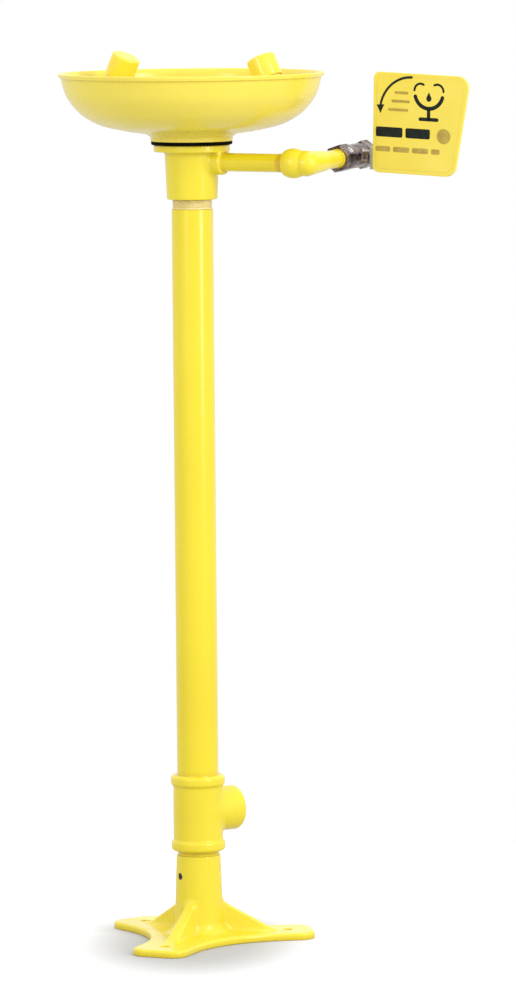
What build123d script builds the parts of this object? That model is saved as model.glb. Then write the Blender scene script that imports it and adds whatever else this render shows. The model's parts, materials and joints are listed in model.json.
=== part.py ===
from build123d import *
import math
import os

# Pedestal-mounted eyewash station.
# Frame: origin on the floor on the pedestal axis, +Z up. +X runs along the supply
# nipple and the line of the two spray heads. The user stands on the -Y side.
# All sizes are in millimetres.

# ---- heights above the floor ----
COLLAR_TOP_Z = 101.0
SET_SCREW_Z = 76.6
STUB_FOOT_Z = 14.0
TEE_BOTTOM_Z = 106.2
TEE_TOP_Z = 195.5
BRANCH_Z = 152.5
THREAD_BOTTOM_Z = 860.0
SUPPORT_BOTTOM_Z = 871.0
FLANGE_BOTTOM_Z = 926.5
SUPPORT_TOP_Z = 934.7
GASKET_TOP_Z = 938.8
SUPPLY_Z = 914.9
STRAINER_Z = 948.0
YOKE_Z = 984.0
RIM_Z = 1018.2
HEAD_TOP_Z = 1036.8

# ---- directions, degrees about +Z from +X ----
FOOT_ANGLES = (38.0, 158.0, -82.0)
SET_SCREW_ANGLES = (-116.0, 64.0)
BRANCH_ANGLE = 64.0
BOWL_SCREW_ANGLES = (45.0, 135.0, 225.0, 315.0)

# ---- pedestal pipe, 1-1/2 inch schedule 40 ----
PIPE_R = 24.15
PIPE_BORE_R = 20.45
PIPE_THREAD_R = 23.0
PIPE_THREAD_LENGTH = 20.0

# ---- water pipe, 1/2 inch schedule 40 ----
WATER_R = 10.67
WATER_BORE_R = 7.9
WATER_THREAD_R = 10.2
WATER_THREAD_LENGTH = 12.5

# ---- floor flange ----
FOOT_LENGTH = 135.0
FOOT_WIDTH = 67.0
FOOT_CORNER_R = 19.0
WEB_FILLET_R = 130.0
PLATE_THICKNESS = 8.2
RIB_REACH = 90.0
RIB_TOP_Z = 44.5
RIB_WIDTH = 13.0
COLLAR_ROOT_R = 27.8
COLLAR_TIP_R = 25.75
ANCHOR_CIRCLE_R = 105.0
ANCHOR_HOLE_R = 5.5
SET_SCREW_R = 4.0

# ---- waste tee, 1-1/2 inch run with a 1-1/4 inch branch ----
TEE_BODY_R = 29.0
TEE_BAND_R = 31.7
TEE_BAND_HEIGHT = 12.8
BRANCH_R = 26.0
BRANCH_REACH = 52.5
BRANCH_THREAD_R = 20.8
BRANCH_BORE_R = 18.5

# ---- bowl support casting ----
SUPPORT_FOOT_R = 29.4
SUPPORT_BODY_R = 31.7
FLANGE_R = 44.3
CAVITY_R = 25.5
BOSS_R = 15.0
BOSS_FACE_X = 44.5
HUB_R = 14.0
HUB_TOP_Z = 928.0
HUB_BOTTOM_Z = 900.0
ARM_R = 11.5

# ---- bowl ----
BOWL_WALL = 3.6
NECK_R = 47.7
SUMP_R = 43.7
DRAIN_R = 30.0
BOWL_SCREW_CIRCLE_R = 37.0
BOWL_SCREW_R = 2.5

# ---- spray heads ----
HEAD_TOP_X = 89.6
YOKE_SHIFT_X = 2.9
HEAD_LEAN = 25.0
CAP_R = 17.0
CAP_INNER_R = 15.3
CAP_HEIGHT = 27.0
HEAD_R = 14.5
HEAD_BORE_R = 8.5

# ---- supply elbow, valve and flag handle ----
ELBOW_X = 154.0
ELBOW_REACH = 28.4
ELBOW_OUTLET_Y = 38.0
ELBOW_BAND_R = 16.4
ELBOW_BAND_LENGTH = 20.8
ELBOW_BAND_ROUND = 4.9
ELBOW_INLET_R = 13.3
ELBOW_CORE_R = 13.9
ELBOW_TIP_R = 11.8
ELBOW_SHOULDER = 6.0
ELBOW_CLOCKING = 2.0
VALVE_CLOCKING = 2.5
VALVE_NEAR_Y = 70.0
VALVE_FAR_Y = 142.0
STEM_Y = 112.0
HEX_FLATS = 29.0
HEX_LENGTH = 19.0
HEX_TURN = 10.0
HEX_FACE_R = 13.9
HEX_CORNER_R = 16.4
HEX_CHAMFER = 1.6
VALVE_BODY_R = 14.3
BALL_R = 9.5
SEAT_R = 11.2
PORT_R = 5.5
STEM_R = 4.0
RUNNING_GAP = 0.05
FLAG_THICKNESS = 3.0
FLAG_BACK_Y = 99.5
FLAG_LEFT_X = 32.5
FLAG_RIGHT_LOW_X = 140.2
FLAG_RIGHT_HIGH_X = 159.2
FLAG_BOTTOM_Z = -15.5
FLAG_TOP_Z = 101.5
FLAG_LEFT_R = 8.0
FLAG_RIGHT_R = 14.0
STRAP = 2.5
STRAP_X = 27.3
STRAP_WIDTH = 26.0

ON_BASE = (Align.CENTER, Align.CENTER, Align.MIN)


def rod(radius, start, end):
    """Solid cylinder between two points."""
    start = Vector(*start)
    run = Vector(*end) - start
    return Plane(origin=start, z_dir=run) * Cylinder(radius, run.length, align=ON_BASE)


def hex_rod(flats, start, end):
    """Hexagonal bar between two points, sized across its flats."""
    start = Vector(*start)
    run = Vector(*end) - start
    section = RegularPolygon(flats / 2, 6, major_radius=False)
    return extrude(Plane(origin=start, z_dir=run) * section, amount=run.length)


def turned(points):
    """Solid of revolution about Z from a closed (radius, height) outline."""
    return revolve(Plane.XZ * make_face(Polyline(*points, close=True)), Axis.Z)


def polar(radius, angle, z=0.0):
    """Point at a radius and an angle in degrees about the pedestal axis."""
    a = math.radians(angle)
    return (radius * math.cos(a), radius * math.sin(a), z)


def head_frame(side):
    """Frame of one spray head: origin at the centre of its cap's top, Z out of the cap."""
    lean = math.radians(HEAD_LEAN)
    out = Vector(-side * math.sin(lean), 0, math.cos(lean))
    return Plane(origin=(YOKE_SHIFT_X + side * HEAD_TOP_X, 0, HEAD_TOP_Z), x_dir=(0, 1, 0), z_dir=out)


def valve_frame():
    """Frame of the valve: origin at the elbow's centre, Y along the bore, X along the stem."""
    return Pos(ELBOW_X, 0, SUPPLY_Z) * Rot(ELBOW_CLOCKING, 0, 0) * Rot(0, VALVE_CLOCKING, 0)


# ---- pedestal ----

def foot_outline():
    """Three round-ended feet joined by concave edges."""
    outline = Sketch()
    for angle in FOOT_ANGLES:
        foot = Pos(FOOT_LENGTH / 2, 0) * RectangleRounded(FOOT_LENGTH, FOOT_WIDTH, FOOT_CORNER_R)
        outline += Rot(0, 0, angle) * foot
    outline += Circle(FOOT_WIDTH / 2)
    notches = outline.vertices().filter_by(lambda v: Vector(v).length < FOOT_WIDTH)
    return fillet(notches, WEB_FILLET_R)


def floor_flange():
    """Cast three-footed floor flange with a ribbed collar."""
    plate = extrude(foot_outline(), amount=PLATE_THICKNESS)
    plate = fillet(plate.edges().group_by(Axis.Z)[-1], 2.5)
    collar = turned([
        (0, 0),
        (44, 0),
        (44, PLATE_THICKNESS),
        (33, PLATE_THICKNESS + 8),
        (29.5, PLATE_THICKNESS + 22),
        (COLLAR_ROOT_R, RIB_TOP_Z),
        (COLLAR_TIP_R, COLLAR_TOP_Z - 1),
        (COLLAR_TIP_R - 1, COLLAR_TOP_Z),
        (0, COLLAR_TOP_Z),
    ])
    flange = plate + collar
    for angle in FOOT_ANGLES:
        web = make_face(Polyline(
            (20, 2), (RIB_REACH, PLATE_THICKNESS), (COLLAR_ROOT_R - 1.5, RIB_TOP_Z), (20, RIB_TOP_Z),
            close=True))
        rib = extrude(Plane.XZ * web, amount=RIB_WIDTH / 2, both=True)
        flange += Rot(0, 0, angle) * rib
        flange -= Pos(*polar(ANCHOR_CIRCLE_R, angle)) * Cylinder(ANCHOR_HOLE_R, 40)
    flange -= rod(PIPE_R, (0, 0, STUB_FOOT_Z), (0, 0, COLLAR_TOP_Z + 1))
    flange -= rod(PIPE_BORE_R, (0, 0, -1), (0, 0, STUB_FOOT_Z))
    for angle in SET_SCREW_ANGLES:
        flange -= rod(SET_SCREW_R, polar(20, angle, SET_SCREW_Z), polar(40, angle, SET_SCREW_Z))
    return flange


def set_screws():
    """Two socket set screws that clamp the stub in the collar."""
    screws = []
    for angle in SET_SCREW_ANGLES:
        tip = polar(PIPE_R, angle, SET_SCREW_Z)
        mouth = polar(PIPE_R + 1.2, angle, SET_SCREW_Z)
        beyond = polar(PIPE_R + 4.0, angle, SET_SCREW_Z)
        shaft = rod(SET_SCREW_R, tip, mouth)
        wall = rod(SET_SCREW_R, mouth, polar(PIPE_R + 1.7, angle, SET_SCREW_Z))
        screws.append(shaft + wall - hex_rod(4.0, mouth, beyond))
    return Compound(screws)


def base_stub():
    """Stub pipe between the collar and the tee, closed at its top against the waste water."""
    top = TEE_BOTTOM_Z + PIPE_THREAD_LENGTH
    outer = rod(PIPE_R, (0, 0, STUB_FOOT_Z), (0, 0, TEE_BOTTOM_Z))
    outer += rod(PIPE_THREAD_R, (0, 0, TEE_BOTTOM_Z), (0, 0, top))
    return outer - rod(PIPE_BORE_R, (0, 0, 0), (0, 0, top - 4))


def waste_tee():
    """Banded pipe tee with a smaller side outlet."""
    tee = rod(TEE_BODY_R, (0, 0, TEE_BOTTOM_Z), (0, 0, TEE_TOP_Z))
    for z in (TEE_BOTTOM_Z, TEE_TOP_Z - TEE_BAND_HEIGHT):
        band = rod(TEE_BAND_R, (0, 0, z), (0, 0, z + TEE_BAND_HEIGHT))
        tee += fillet(band.edges().filter_by(GeomType.CIRCLE), 3.0)
    branch = rod(BRANCH_R, polar(0, 0, BRANCH_Z), polar(BRANCH_REACH, BRANCH_ANGLE, BRANCH_Z))
    mouth = branch.edges().filter_by(GeomType.CIRCLE).sort_by_distance((0, 0, BRANCH_Z))[-1]
    tee += fillet(mouth, 3.5)
    tee -= rod(PIPE_BORE_R, (0, 0, TEE_BOTTOM_Z - 1), (0, 0, TEE_TOP_Z + 1))
    tee -= rod(PIPE_THREAD_R, (0, 0, TEE_BOTTOM_Z - 1), (0, 0, TEE_BOTTOM_Z + PIPE_THREAD_LENGTH))
    tee -= rod(PIPE_THREAD_R, (0, 0, TEE_TOP_Z - PIPE_THREAD_LENGTH), (0, 0, TEE_TOP_Z + 1))
    mouth_point = polar(BRANCH_REACH + 1, BRANCH_ANGLE, BRANCH_Z)
    tee -= rod(BRANCH_BORE_R, polar(0, 0, BRANCH_Z), mouth_point)
    tee -= rod(BRANCH_THREAD_R, polar(BRANCH_REACH - 19, BRANCH_ANGLE, BRANCH_Z), mouth_point)
    return tee


def pedestal_pipe():
    """Main pipe, which carries the bowl and drains it. It is threaded at both ends."""
    low = TEE_TOP_Z - PIPE_THREAD_LENGTH
    high = SUPPORT_BOTTOM_Z + PIPE_THREAD_LENGTH
    return turned([
        (PIPE_BORE_R, low),
        (PIPE_THREAD_R, low),
        (PIPE_THREAD_R, TEE_TOP_Z),
        (PIPE_R, TEE_TOP_Z),
        (PIPE_R, THREAD_BOTTOM_Z),
        (PIPE_THREAD_R, THREAD_BOTTOM_Z + 1.2),
        (PIPE_THREAD_R, high),
        (PIPE_BORE_R, high),
    ])


# ---- bowl and its support ----

def bowl_support():
    """Casting that screws on the pipe, carries the bowl and brings the water to its centre."""
    shell = turned([
        (0, SUPPORT_BOTTOM_Z),
        (SUPPORT_FOOT_R - 2, SUPPORT_BOTTOM_Z),
        (SUPPORT_FOOT_R, SUPPORT_BOTTOM_Z + 2),
        (SUPPORT_BODY_R, FLANGE_BOTTOM_Z - 4),
        (SUPPORT_BODY_R + 3, FLANGE_BOTTOM_Z),
        (FLANGE_R - 1, FLANGE_BOTTOM_Z),
        (FLANGE_R, FLANGE_BOTTOM_Z + 1),
        (FLANGE_R, SUPPORT_TOP_Z),
        (0, SUPPORT_TOP_Z),
    ])
    boss = rod(BOSS_R, (0, 0, SUPPLY_Z), (BOSS_FACE_X, 0, SUPPLY_Z))
    mouth = boss.edges().filter_by(GeomType.CIRCLE).sort_by(Axis.X)[-1]
    shell += fillet(mouth, 2.5)
    thread_top = SUPPORT_BOTTOM_Z + PIPE_THREAD_LENGTH
    shell -= rod(PIPE_THREAD_R, (0, 0, SUPPORT_BOTTOM_Z - 1), (0, 0, thread_top))
    shell -= rod(CAVITY_R, (0, 0, thread_top), (0, 0, SUPPORT_TOP_Z + 1))
    shell += rod(HUB_R, (0, 0, HUB_BOTTOM_Z), (0, 0, HUB_TOP_Z))
    shell += rod(ARM_R, (0, 0, SUPPLY_Z), (CAVITY_R + 2, 0, SUPPLY_Z))
    socket_x = BOSS_FACE_X - WATER_THREAD_LENGTH
    shell -= rod(WATER_THREAD_R, (socket_x, 0, SUPPLY_Z), (BOSS_FACE_X + 1, 0, SUPPLY_Z))
    shell -= rod(WATER_BORE_R, (0, 0, SUPPLY_Z), (socket_x, 0, SUPPLY_Z))
    shell -= rod(WATER_BORE_R, (0, 0, SUPPLY_Z - WATER_BORE_R), (0, 0, HUB_TOP_Z))
    shell -= rod(WATER_THREAD_R, (0, 0, HUB_TOP_Z - WATER_THREAD_LENGTH), (0, 0, HUB_TOP_Z + 1))
    for angle in BOWL_SCREW_ANGLES:
        low = polar(BOWL_SCREW_CIRCLE_R, angle, FLANGE_BOTTOM_Z - 1)
        high = polar(BOWL_SCREW_CIRCLE_R, angle, SUPPORT_TOP_Z + 1)
        shell -= rod(BOWL_SCREW_R, low, high)
    return shell


def bowl_gasket():
    """Flat rubber ring between the bowl and its support."""
    gasket = rod(NECK_R, (0, 0, SUPPORT_TOP_Z), (0, 0, GASKET_TOP_Z))
    gasket -= rod(DRAIN_R, (0, 0, SUPPORT_TOP_Z), (0, 0, GASKET_TOP_Z))
    for angle in BOWL_SCREW_ANGLES:
        low = polar(BOWL_SCREW_CIRCLE_R, angle, SUPPORT_TOP_Z - 1)
        high = polar(BOWL_SCREW_CIRCLE_R, angle, GASKET_TOP_Z + 1)
        gasket -= rod(BOWL_SCREW_R + 0.5, low, high)
    return gasket


def wall_points():
    """Outer outline of the bowl's wall, (radius, height) from its foot to the lip."""
    return [
        (74.4, RIM_Z - 67.8),
        (103.0, RIM_Z - 61.4),
        (121.9, RIM_Z - 52.2),
        (133.9, RIM_Z - 42.2),
        (144.3, RIM_Z - 28.4),
        (149.4, RIM_Z - 14.5),
        (151.4, RIM_Z - 5.7),
    ]


def inset(points, amount):
    """Outline moved towards the bowl's inside, square to itself."""
    moved = []
    for i, (r, z) in enumerate(points):
        r0, z0 = points[max(i - 1, 0)]
        r1, z1 = points[min(i + 1, len(points) - 1)]
        length = math.hypot(r1 - r0, z1 - z0)
        moved.append((r - amount * (z1 - z0) / length, z + amount * (r1 - r0) / length))
    return moved


def bowl():
    """Shallow round receptor bowl with an out-turned lip and a sump over the drain."""
    outer = wall_points()
    inner = inset(outer, BOWL_WALL)
    inner.reverse()
    floor_z = GASKET_TOP_Z + 4.0
    outline = [
        Polyline((DRAIN_R, GASKET_TOP_Z), (NECK_R, GASKET_TOP_Z), (NECK_R, GASKET_TOP_Z + 4),
                 (NECK_R + 4, GASKET_TOP_Z + 7.2), (NECK_R + 10, GASKET_TOP_Z + 9.3), outer[0]),
        Spline(*outer),
        Polyline(outer[-1], (155.0, RIM_Z - 1.2), (154.6, RIM_Z), (152.9, RIM_Z), inner[0]),
        Spline(*inner),
        Polyline(inner[-1], (NECK_R + 6, STRAINER_Z + 2.8), (SUMP_R, STRAINER_Z + 2.2), (SUMP_R, floor_z),
                 (DRAIN_R, floor_z), (DRAIN_R, GASKET_TOP_Z)),
    ]
    solid = revolve(Plane.XZ * make_face(outline), Axis.Z)
    for angle in BOWL_SCREW_ANGLES:
        low = polar(BOWL_SCREW_CIRCLE_R, angle, GASKET_TOP_Z - 1)
        high = polar(BOWL_SCREW_CIRCLE_R, angle, floor_z + 1)
        solid -= rod(BOWL_SCREW_R + 0.5, low, high)
    return solid


def bowl_screws():
    """Four pan-head screws that hold the bowl on its support."""
    seat_z = GASKET_TOP_Z + 4.0
    screws = []
    for angle in BOWL_SCREW_ANGLES:
        tip = polar(BOWL_SCREW_CIRCLE_R, angle, FLANGE_BOTTOM_Z + 0.5)
        seat = polar(BOWL_SCREW_CIRCLE_R, angle, seat_z)
        crown = polar(BOWL_SCREW_CIRCLE_R, angle, seat_z + 3)
        head = rod(4.6, seat, crown)
        head = fillet(head.edges().filter_by(GeomType.CIRCLE).sort_by(Axis.Z)[-1], 1.5)
        slot = Pos(*crown) * (Box(6.0, 1.2, 3.0) + Box(1.2, 6.0, 3.0))
        screws.append(head + rod(BOWL_SCREW_R, tip, seat) - slot)
    return Compound(screws)


def drain_strainer():
    """Perforated plate on four short feet over the sump."""
    low = STRAINER_Z
    plate = rod(SUMP_R - 0.3, (0, 0, low), (0, 0, low + 2))
    plate -= Pos(0, 0, low) * Cylinder(WATER_R + 0.5, 10)
    for radius, count in ((19.0, 12), (27.0, 18), (35.0, 24)):
        for i in range(count):
            plate -= Pos(*polar(radius, i * 360 / count, low)) * Cylinder(2.4, 10)
    for angle in (0, 90, 180, 270):
        foot_low = polar(SUMP_R - 3.2, angle, GASKET_TOP_Z + 4.0)
        plate += rod(2.2, foot_low, polar(SUMP_R - 3.2, angle, low + 1))
    return plate


def riser_tube():
    """Short pipe that brings the water up through the drain to the spray yoke."""
    low = HUB_TOP_Z - WATER_THREAD_LENGTH
    yoke_low = YOKE_Z - 20
    high = yoke_low + WATER_THREAD_LENGTH
    return turned([
        (WATER_BORE_R, low),
        (WATER_THREAD_R, low),
        (WATER_THREAD_R, HUB_TOP_Z),
        (WATER_R, HUB_TOP_Z),
        (WATER_R, yoke_low),
        (WATER_THREAD_R, yoke_low),
        (WATER_THREAD_R, high),
        (WATER_BORE_R, high),
    ])


def flow_control():
    """Orifice disc above the riser, which sets the flow to the two heads."""
    low = YOKE_Z - 20 + WATER_THREAD_LENGTH
    disc = rod(WATER_THREAD_R, (0, 0, low), (0, 0, low + 2.5))
    return disc - rod(3.2, (0, 0, low - 1), (0, 0, low + 4))


def spray_yoke():
    """Cross-tube that feeds the two heads, with a nipple for each on its ends."""
    low = YOKE_Z - 20
    yoke = rod(15.0, (0, 0, low), (0, 0, YOKE_Z + 12))
    yoke = fillet(yoke.edges().filter_by(GeomType.CIRCLE).sort_by(Axis.Z)[-1], 4.0)
    depth = (HEAD_TOP_Z - YOKE_Z) / math.cos(math.radians(HEAD_LEAN))
    reach = HEAD_TOP_X + depth * math.sin(math.radians(HEAD_LEAN))
    left_end = (YOKE_SHIFT_X - reach, 0, YOKE_Z)
    right_end = (YOKE_SHIFT_X + reach, 0, YOKE_Z)
    yoke += rod(9.5, left_end, right_end)
    yoke += Pos(*left_end) * Sphere(11.0)
    yoke += Pos(*right_end) * Sphere(11.0)
    for side in (-1, 1):
        yoke += head_frame(side) * rod(HEAD_BORE_R, (0, 0, -depth), (0, 0, -30))
    for side in (-1, 1):
        yoke -= head_frame(side) * rod(5.0, (0, 0, -depth), (0, 0, -29))
    yoke -= rod(5.5, left_end, right_end)
    chamber_low = low + WATER_THREAD_LENGTH + 2.5
    yoke -= rod(WATER_THREAD_R, (0, 0, low - 1), (0, 0, chamber_low))
    yoke -= rod(8.0, (0, 0, chamber_low), (0, 0, YOKE_Z + 6))
    return yoke


def spray_head(side):
    """Cup-shaped head that screws on the yoke and holds the perforated face."""
    cup = turned([
        (HEAD_BORE_R, -40),
        (11.5, -40),
        (HEAD_R, -36),
        (HEAD_R, -2.3),
        (13.0, -2.3),
        (13.0, -8.5),
        (11.5, -8.5),
        (11.5, -28),
        (HEAD_BORE_R, -28),
    ])
    return head_frame(side) * cup


def spray_face(side):
    """Perforated disc that breaks the water into soft streams."""
    disc = rod(13.0, (0, 0, -8.5), (0, 0, -5.5))
    disc -= rod(1.0, (0, 0, -9), (0, 0, -5))
    for radius, count in ((4.5, 6), (9.0, 12)):
        for i in range(count):
            x, y, z = polar(radius, i * 360 / count)
            disc -= rod(1.0, (x, y, -9), (x, y, -5))
    return head_frame(side) * disc


def dust_cap(side):
    """Loose cap over a head, which the water lifts off."""
    cap = rod(CAP_R, (0, 0, -CAP_HEIGHT), (0, 0, 0))
    cap = fillet(cap.edges().filter_by(GeomType.CIRCLE).sort_by(Axis.Z)[-1], 2.6)
    cap -= rod(CAP_INNER_R, (0, 0, -CAP_HEIGHT - 1), (0, 0, -2.0))
    return head_frame(side) * cap


# ---- supply, valve and flag handle ----

def supply_nipple():
    """Pipe from the elbow to the support's side boss."""
    low = BOSS_FACE_X - WATER_THREAD_LENGTH
    elbow_face = ELBOW_X - ELBOW_REACH
    high = elbow_face + WATER_THREAD_LENGTH
    tube = rod(WATER_R, (BOSS_FACE_X, 0, SUPPLY_Z), (elbow_face, 0, SUPPLY_Z))
    tube += rod(WATER_THREAD_R, (low, 0, SUPPLY_Z), (high, 0, SUPPLY_Z))
    return tube - rod(WATER_BORE_R, (low - 1, 0, SUPPLY_Z), (high + 1, 0, SUPPLY_Z))


def supply_elbow():
    """Right-angle fitting with a heavy rounded band at its inlet and a tapered outlet."""
    outlet = turned([
        (0, 0),
        (ELBOW_CORE_R, 0),
        (ELBOW_CORE_R, ELBOW_SHOULDER),
        (ELBOW_TIP_R, ELBOW_OUTLET_Y),
        (0, ELBOW_OUTLET_Y),
    ])
    body = Rot(-90, 0, 0) * outlet
    body += rod(ELBOW_INLET_R, (0, 0, 0), (-ELBOW_REACH + 4, 0, 0))
    body += Sphere(ELBOW_CORE_R)
    band = rod(ELBOW_BAND_R, (-ELBOW_REACH, 0, 0), (-ELBOW_REACH + ELBOW_BAND_LENGTH, 0, 0))
    body += fillet(band.edges().filter_by(GeomType.CIRCLE), ELBOW_BAND_ROUND)
    inlet_end = WATER_THREAD_LENGTH - ELBOW_REACH
    outlet_end = ELBOW_OUTLET_Y - WATER_THREAD_LENGTH
    body -= rod(WATER_THREAD_R, (-ELBOW_REACH - 1, 0, 0), (inlet_end, 0, 0))
    body -= rod(WATER_THREAD_R, (0, ELBOW_OUTLET_Y + 1, 0), (0, outlet_end, 0))
    body -= rod(WATER_BORE_R, (-ELBOW_REACH, 0, 0), (0, 0, 0))
    body -= rod(WATER_BORE_R, (0, ELBOW_OUTLET_Y, 0), (0, 0, 0))
    body -= Sphere(WATER_BORE_R)
    return Pos(ELBOW_X, 0, SUPPLY_Z) * Rot(ELBOW_CLOCKING, 0, 0) * body


def valve_nipple():
    """Pipe between the elbow and the valve."""
    low = ELBOW_OUTLET_Y - WATER_THREAD_LENGTH
    high = VALVE_NEAR_Y + WATER_THREAD_LENGTH
    tube = rod(WATER_R, (0, ELBOW_OUTLET_Y, 0), (0, VALVE_NEAR_Y, 0))
    tube += rod(WATER_THREAD_R, (0, low, 0), (0, high, 0))
    return valve_frame() * (tube - rod(WATER_BORE_R, (0, low - 1, 0), (0, high + 1, 0)))


def valve_body():
    """Ball valve body: hexagonal end, round chamber and a boss for the stem."""
    chamber_y = STEM_Y - 11.0
    mouth_y = STEM_Y + 14.0
    hex_end = VALVE_NEAR_Y + HEX_LENGTH
    body = Rot(0, HEX_TURN, 0) * hex_rod(HEX_FLATS, (0, VALVE_NEAR_Y, 0), (0, hex_end, 0))
    crown = turned([
        (0, 0),
        (HEX_FACE_R, 0),
        (HEX_CORNER_R, HEX_CHAMFER),
        (HEX_CORNER_R, HEX_LENGTH - HEX_CHAMFER),
        (HEX_FACE_R, HEX_LENGTH),
        (0, HEX_LENGTH),
    ])
    body &= Pos(0, VALVE_NEAR_Y, 0) * Rot(-90, 0, 0) * crown
    body += rod(VALVE_BODY_R, (0, hex_end - 1, 0), (0, mouth_y, 0))
    body += rod(8.5, (0, STEM_Y, 0), (22, STEM_Y, 0))
    thread_end = VALVE_NEAR_Y + WATER_THREAD_LENGTH
    body -= rod(WATER_THREAD_R, (0, VALVE_NEAR_Y - 1, 0), (0, thread_end, 0))
    body -= rod(PORT_R, (0, thread_end, 0), (0, chamber_y, 0))
    body -= rod(SEAT_R, (0, chamber_y, 0), (0, mouth_y + 1, 0))
    body -= rod(5.6, (5, STEM_Y, 0), (12.4, STEM_Y, 0))
    body -= rod(STEM_R + RUNNING_GAP, (12, STEM_Y, 0), (15, STEM_Y, 0))
    body -= rod(6.5, (14.5, STEM_Y, 0), (23, STEM_Y, 0))
    return valve_frame() * body


def valve_end_cap():
    """Screwed end of the valve, with the threaded inlet for the building's supply."""
    mouth_y = STEM_Y + 14.0
    cap = hex_rod(29.0, (0, mouth_y, 0), (0, VALVE_FAR_Y, 0))
    cap += rod(SEAT_R, (0, mouth_y - 3, 0), (0, mouth_y, 0))
    cap -= rod(PORT_R, (0, mouth_y - 4, 0), (0, VALVE_FAR_Y, 0))
    cap -= rod(WATER_THREAD_R, (0, VALVE_FAR_Y - WATER_THREAD_LENGTH, 0), (0, VALVE_FAR_Y + 1, 0))
    return valve_frame() * cap


def ball_seats():
    """Two plastic seat rings that the ball turns between."""
    seats = []
    for low, high in ((-11.0, -5.5), (5.5, 11.0)):
        seat = rod(SEAT_R, (0, STEM_Y + low, 0), (0, STEM_Y + high, 0))
        seat -= rod(PORT_R, (0, STEM_Y + low - 1, 0), (0, STEM_Y + high + 1, 0))
        seat -= Pos(0, STEM_Y, 0) * Sphere(BALL_R + RUNNING_GAP)
        seats.append(valve_frame() * seat)
    return Compound(seats)


def valve_ball():
    """Ball with its port across the flow, as it is when the flag stands up."""
    ball = Sphere(BALL_R)
    ball -= rod(5.0, (0, 0, -12), (0, 0, 12))
    ball -= Pos(9.0, 0, 0) * Box(4.0, 24.0, 3.2)
    return valve_frame() * Pos(0, STEM_Y, 0) * ball


def valve_stem():
    """Stem with a blade in the ball's slot, a collar, a square for the strap and a thread."""
    stem = Pos(9.2, 0, 0) * Box(4.2, 7.0, 3.1)
    stem += rod(5.5, (10.4, 0, 0), (12.2, 0, 0))
    stem += rod(STEM_R, (12.2, 0, 0), (STRAP_X, 0, 0))
    stem += Pos(STRAP_X + STRAP / 2, 0, 0) * Box(STRAP, 5.6, 5.6)
    stem += rod(2.8, (STRAP_X + STRAP, 0, 0), (STRAP_X + STRAP + 6.5, 0, 0))
    return valve_frame() * Pos(0, STEM_Y, 0) * stem


def stem_packing():
    """Plastic ring that seals the stem."""
    ring = rod(6.5, (14.5, 0, 0), (18.5, 0, 0)) - rod(STEM_R + RUNNING_GAP, (14, 0, 0), (19, 0, 0))
    return valve_frame() * Pos(0, STEM_Y, 0) * ring


def packing_nut():
    """Gland nut that presses on the packing."""
    nut = rod(6.5, (18.5, 0, 0), (22, 0, 0))
    nut += hex_rod(15.0, (22, 0, 0), (26.5, 0, 0))
    nut -= rod(STEM_R + RUNNING_GAP, (18, 0, 0), (27, 0, 0))
    return valve_frame() * Pos(0, STEM_Y, 0) * nut


def flag_bracket():
    """Bent strap: one leg on the stem's square, the other behind the flag."""
    leg_low_y = FLAG_BACK_Y
    leg = Box(STRAP, STEM_Y + 9 - leg_low_y, STRAP_WIDTH, align=(Align.MIN, Align.MIN, Align.CENTER))
    leg = fillet(leg.edges().filter_by(Axis.X).group_by(Axis.Y)[-1], 6.0)
    leaf = Box(68.0, STRAP, STRAP_WIDTH, align=(Align.MIN, Align.MIN, Align.CENTER))
    leaf = fillet(leaf.edges().filter_by(Axis.Y).group_by(Axis.X)[-1], 6.0)
    strap = Pos(STRAP_X, leg_low_y, 0) * (leg + leaf)
    strap -= Pos(STRAP_X + STRAP / 2, STEM_Y, 0) * Box(STRAP + 1, 5.6, 5.6)
    for x in (52.0, 82.0):
        strap -= rod(1.9, (x, leg_low_y - 1, 0), (x, leg_low_y + 4, 0))
    return valve_frame() * strap


def stem_washer():
    """Plain washer under the stem nut."""
    low = STRAP_X + STRAP
    ring = rod(6.0, (low, 0, 0), (low + 1, 0, 0)) - rod(2.8, (low - 1, 0, 0), (low + 2, 0, 0))
    return valve_frame() * Pos(0, STEM_Y, 0) * ring


def stem_nut():
    """Nut that holds the strap on the stem."""
    low = STRAP_X + STRAP + 1
    nut = hex_rod(9.5, (low, 0, 0), (low + 4.2, 0, 0)) - rod(2.8, (low - 1, 0, 0), (low + 5, 0, 0))
    return valve_frame() * Pos(0, STEM_Y, 0) * nut


def flag_outline(margin):
    """Flag outline in the plane of the strap, drawn in by a margin. Its outer edge leans out."""
    slope = (FLAG_RIGHT_HIGH_X - FLAG_RIGHT_LOW_X) / (FLAG_TOP_Z - FLAG_BOTTOM_Z)
    left = FLAG_LEFT_X + margin
    low = FLAG_BOTTOM_Z + margin
    high = FLAG_TOP_Z - margin
    right_low = FLAG_RIGHT_LOW_X + slope * margin - margin * math.hypot(1, slope)
    right_high = right_low + slope * (high - low)
    outline = make_face(Polyline((left, low), (right_low, low), (right_high, high), (left, high),
                                 close=True))
    corners = outline.vertices().sort_by(Axis.X)
    outline = fillet(corners[:2], FLAG_LEFT_R - margin / 2)
    corners = [v for v in outline.vertices() if v.X > right_low - 0.01]
    return fillet(corners, FLAG_RIGHT_R - margin / 2)


def flag():
    """Push plate that turns the valve."""
    front_y = FLAG_BACK_Y - FLAG_THICKNESS
    plate = Pos(0, FLAG_BACK_Y, 0) * extrude(Plane.XZ * flag_outline(0), amount=FLAG_THICKNESS)
    rims = plate.edges().group_by(Axis.Y)[0]
    plate = fillet(rims, 0.8)
    for x in (52.0, 82.0):
        plate -= rod(1.6, (x, front_y + 0.9, 0), (x, FLAG_BACK_Y + 1, 0))
    return valve_frame() * plate


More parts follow.
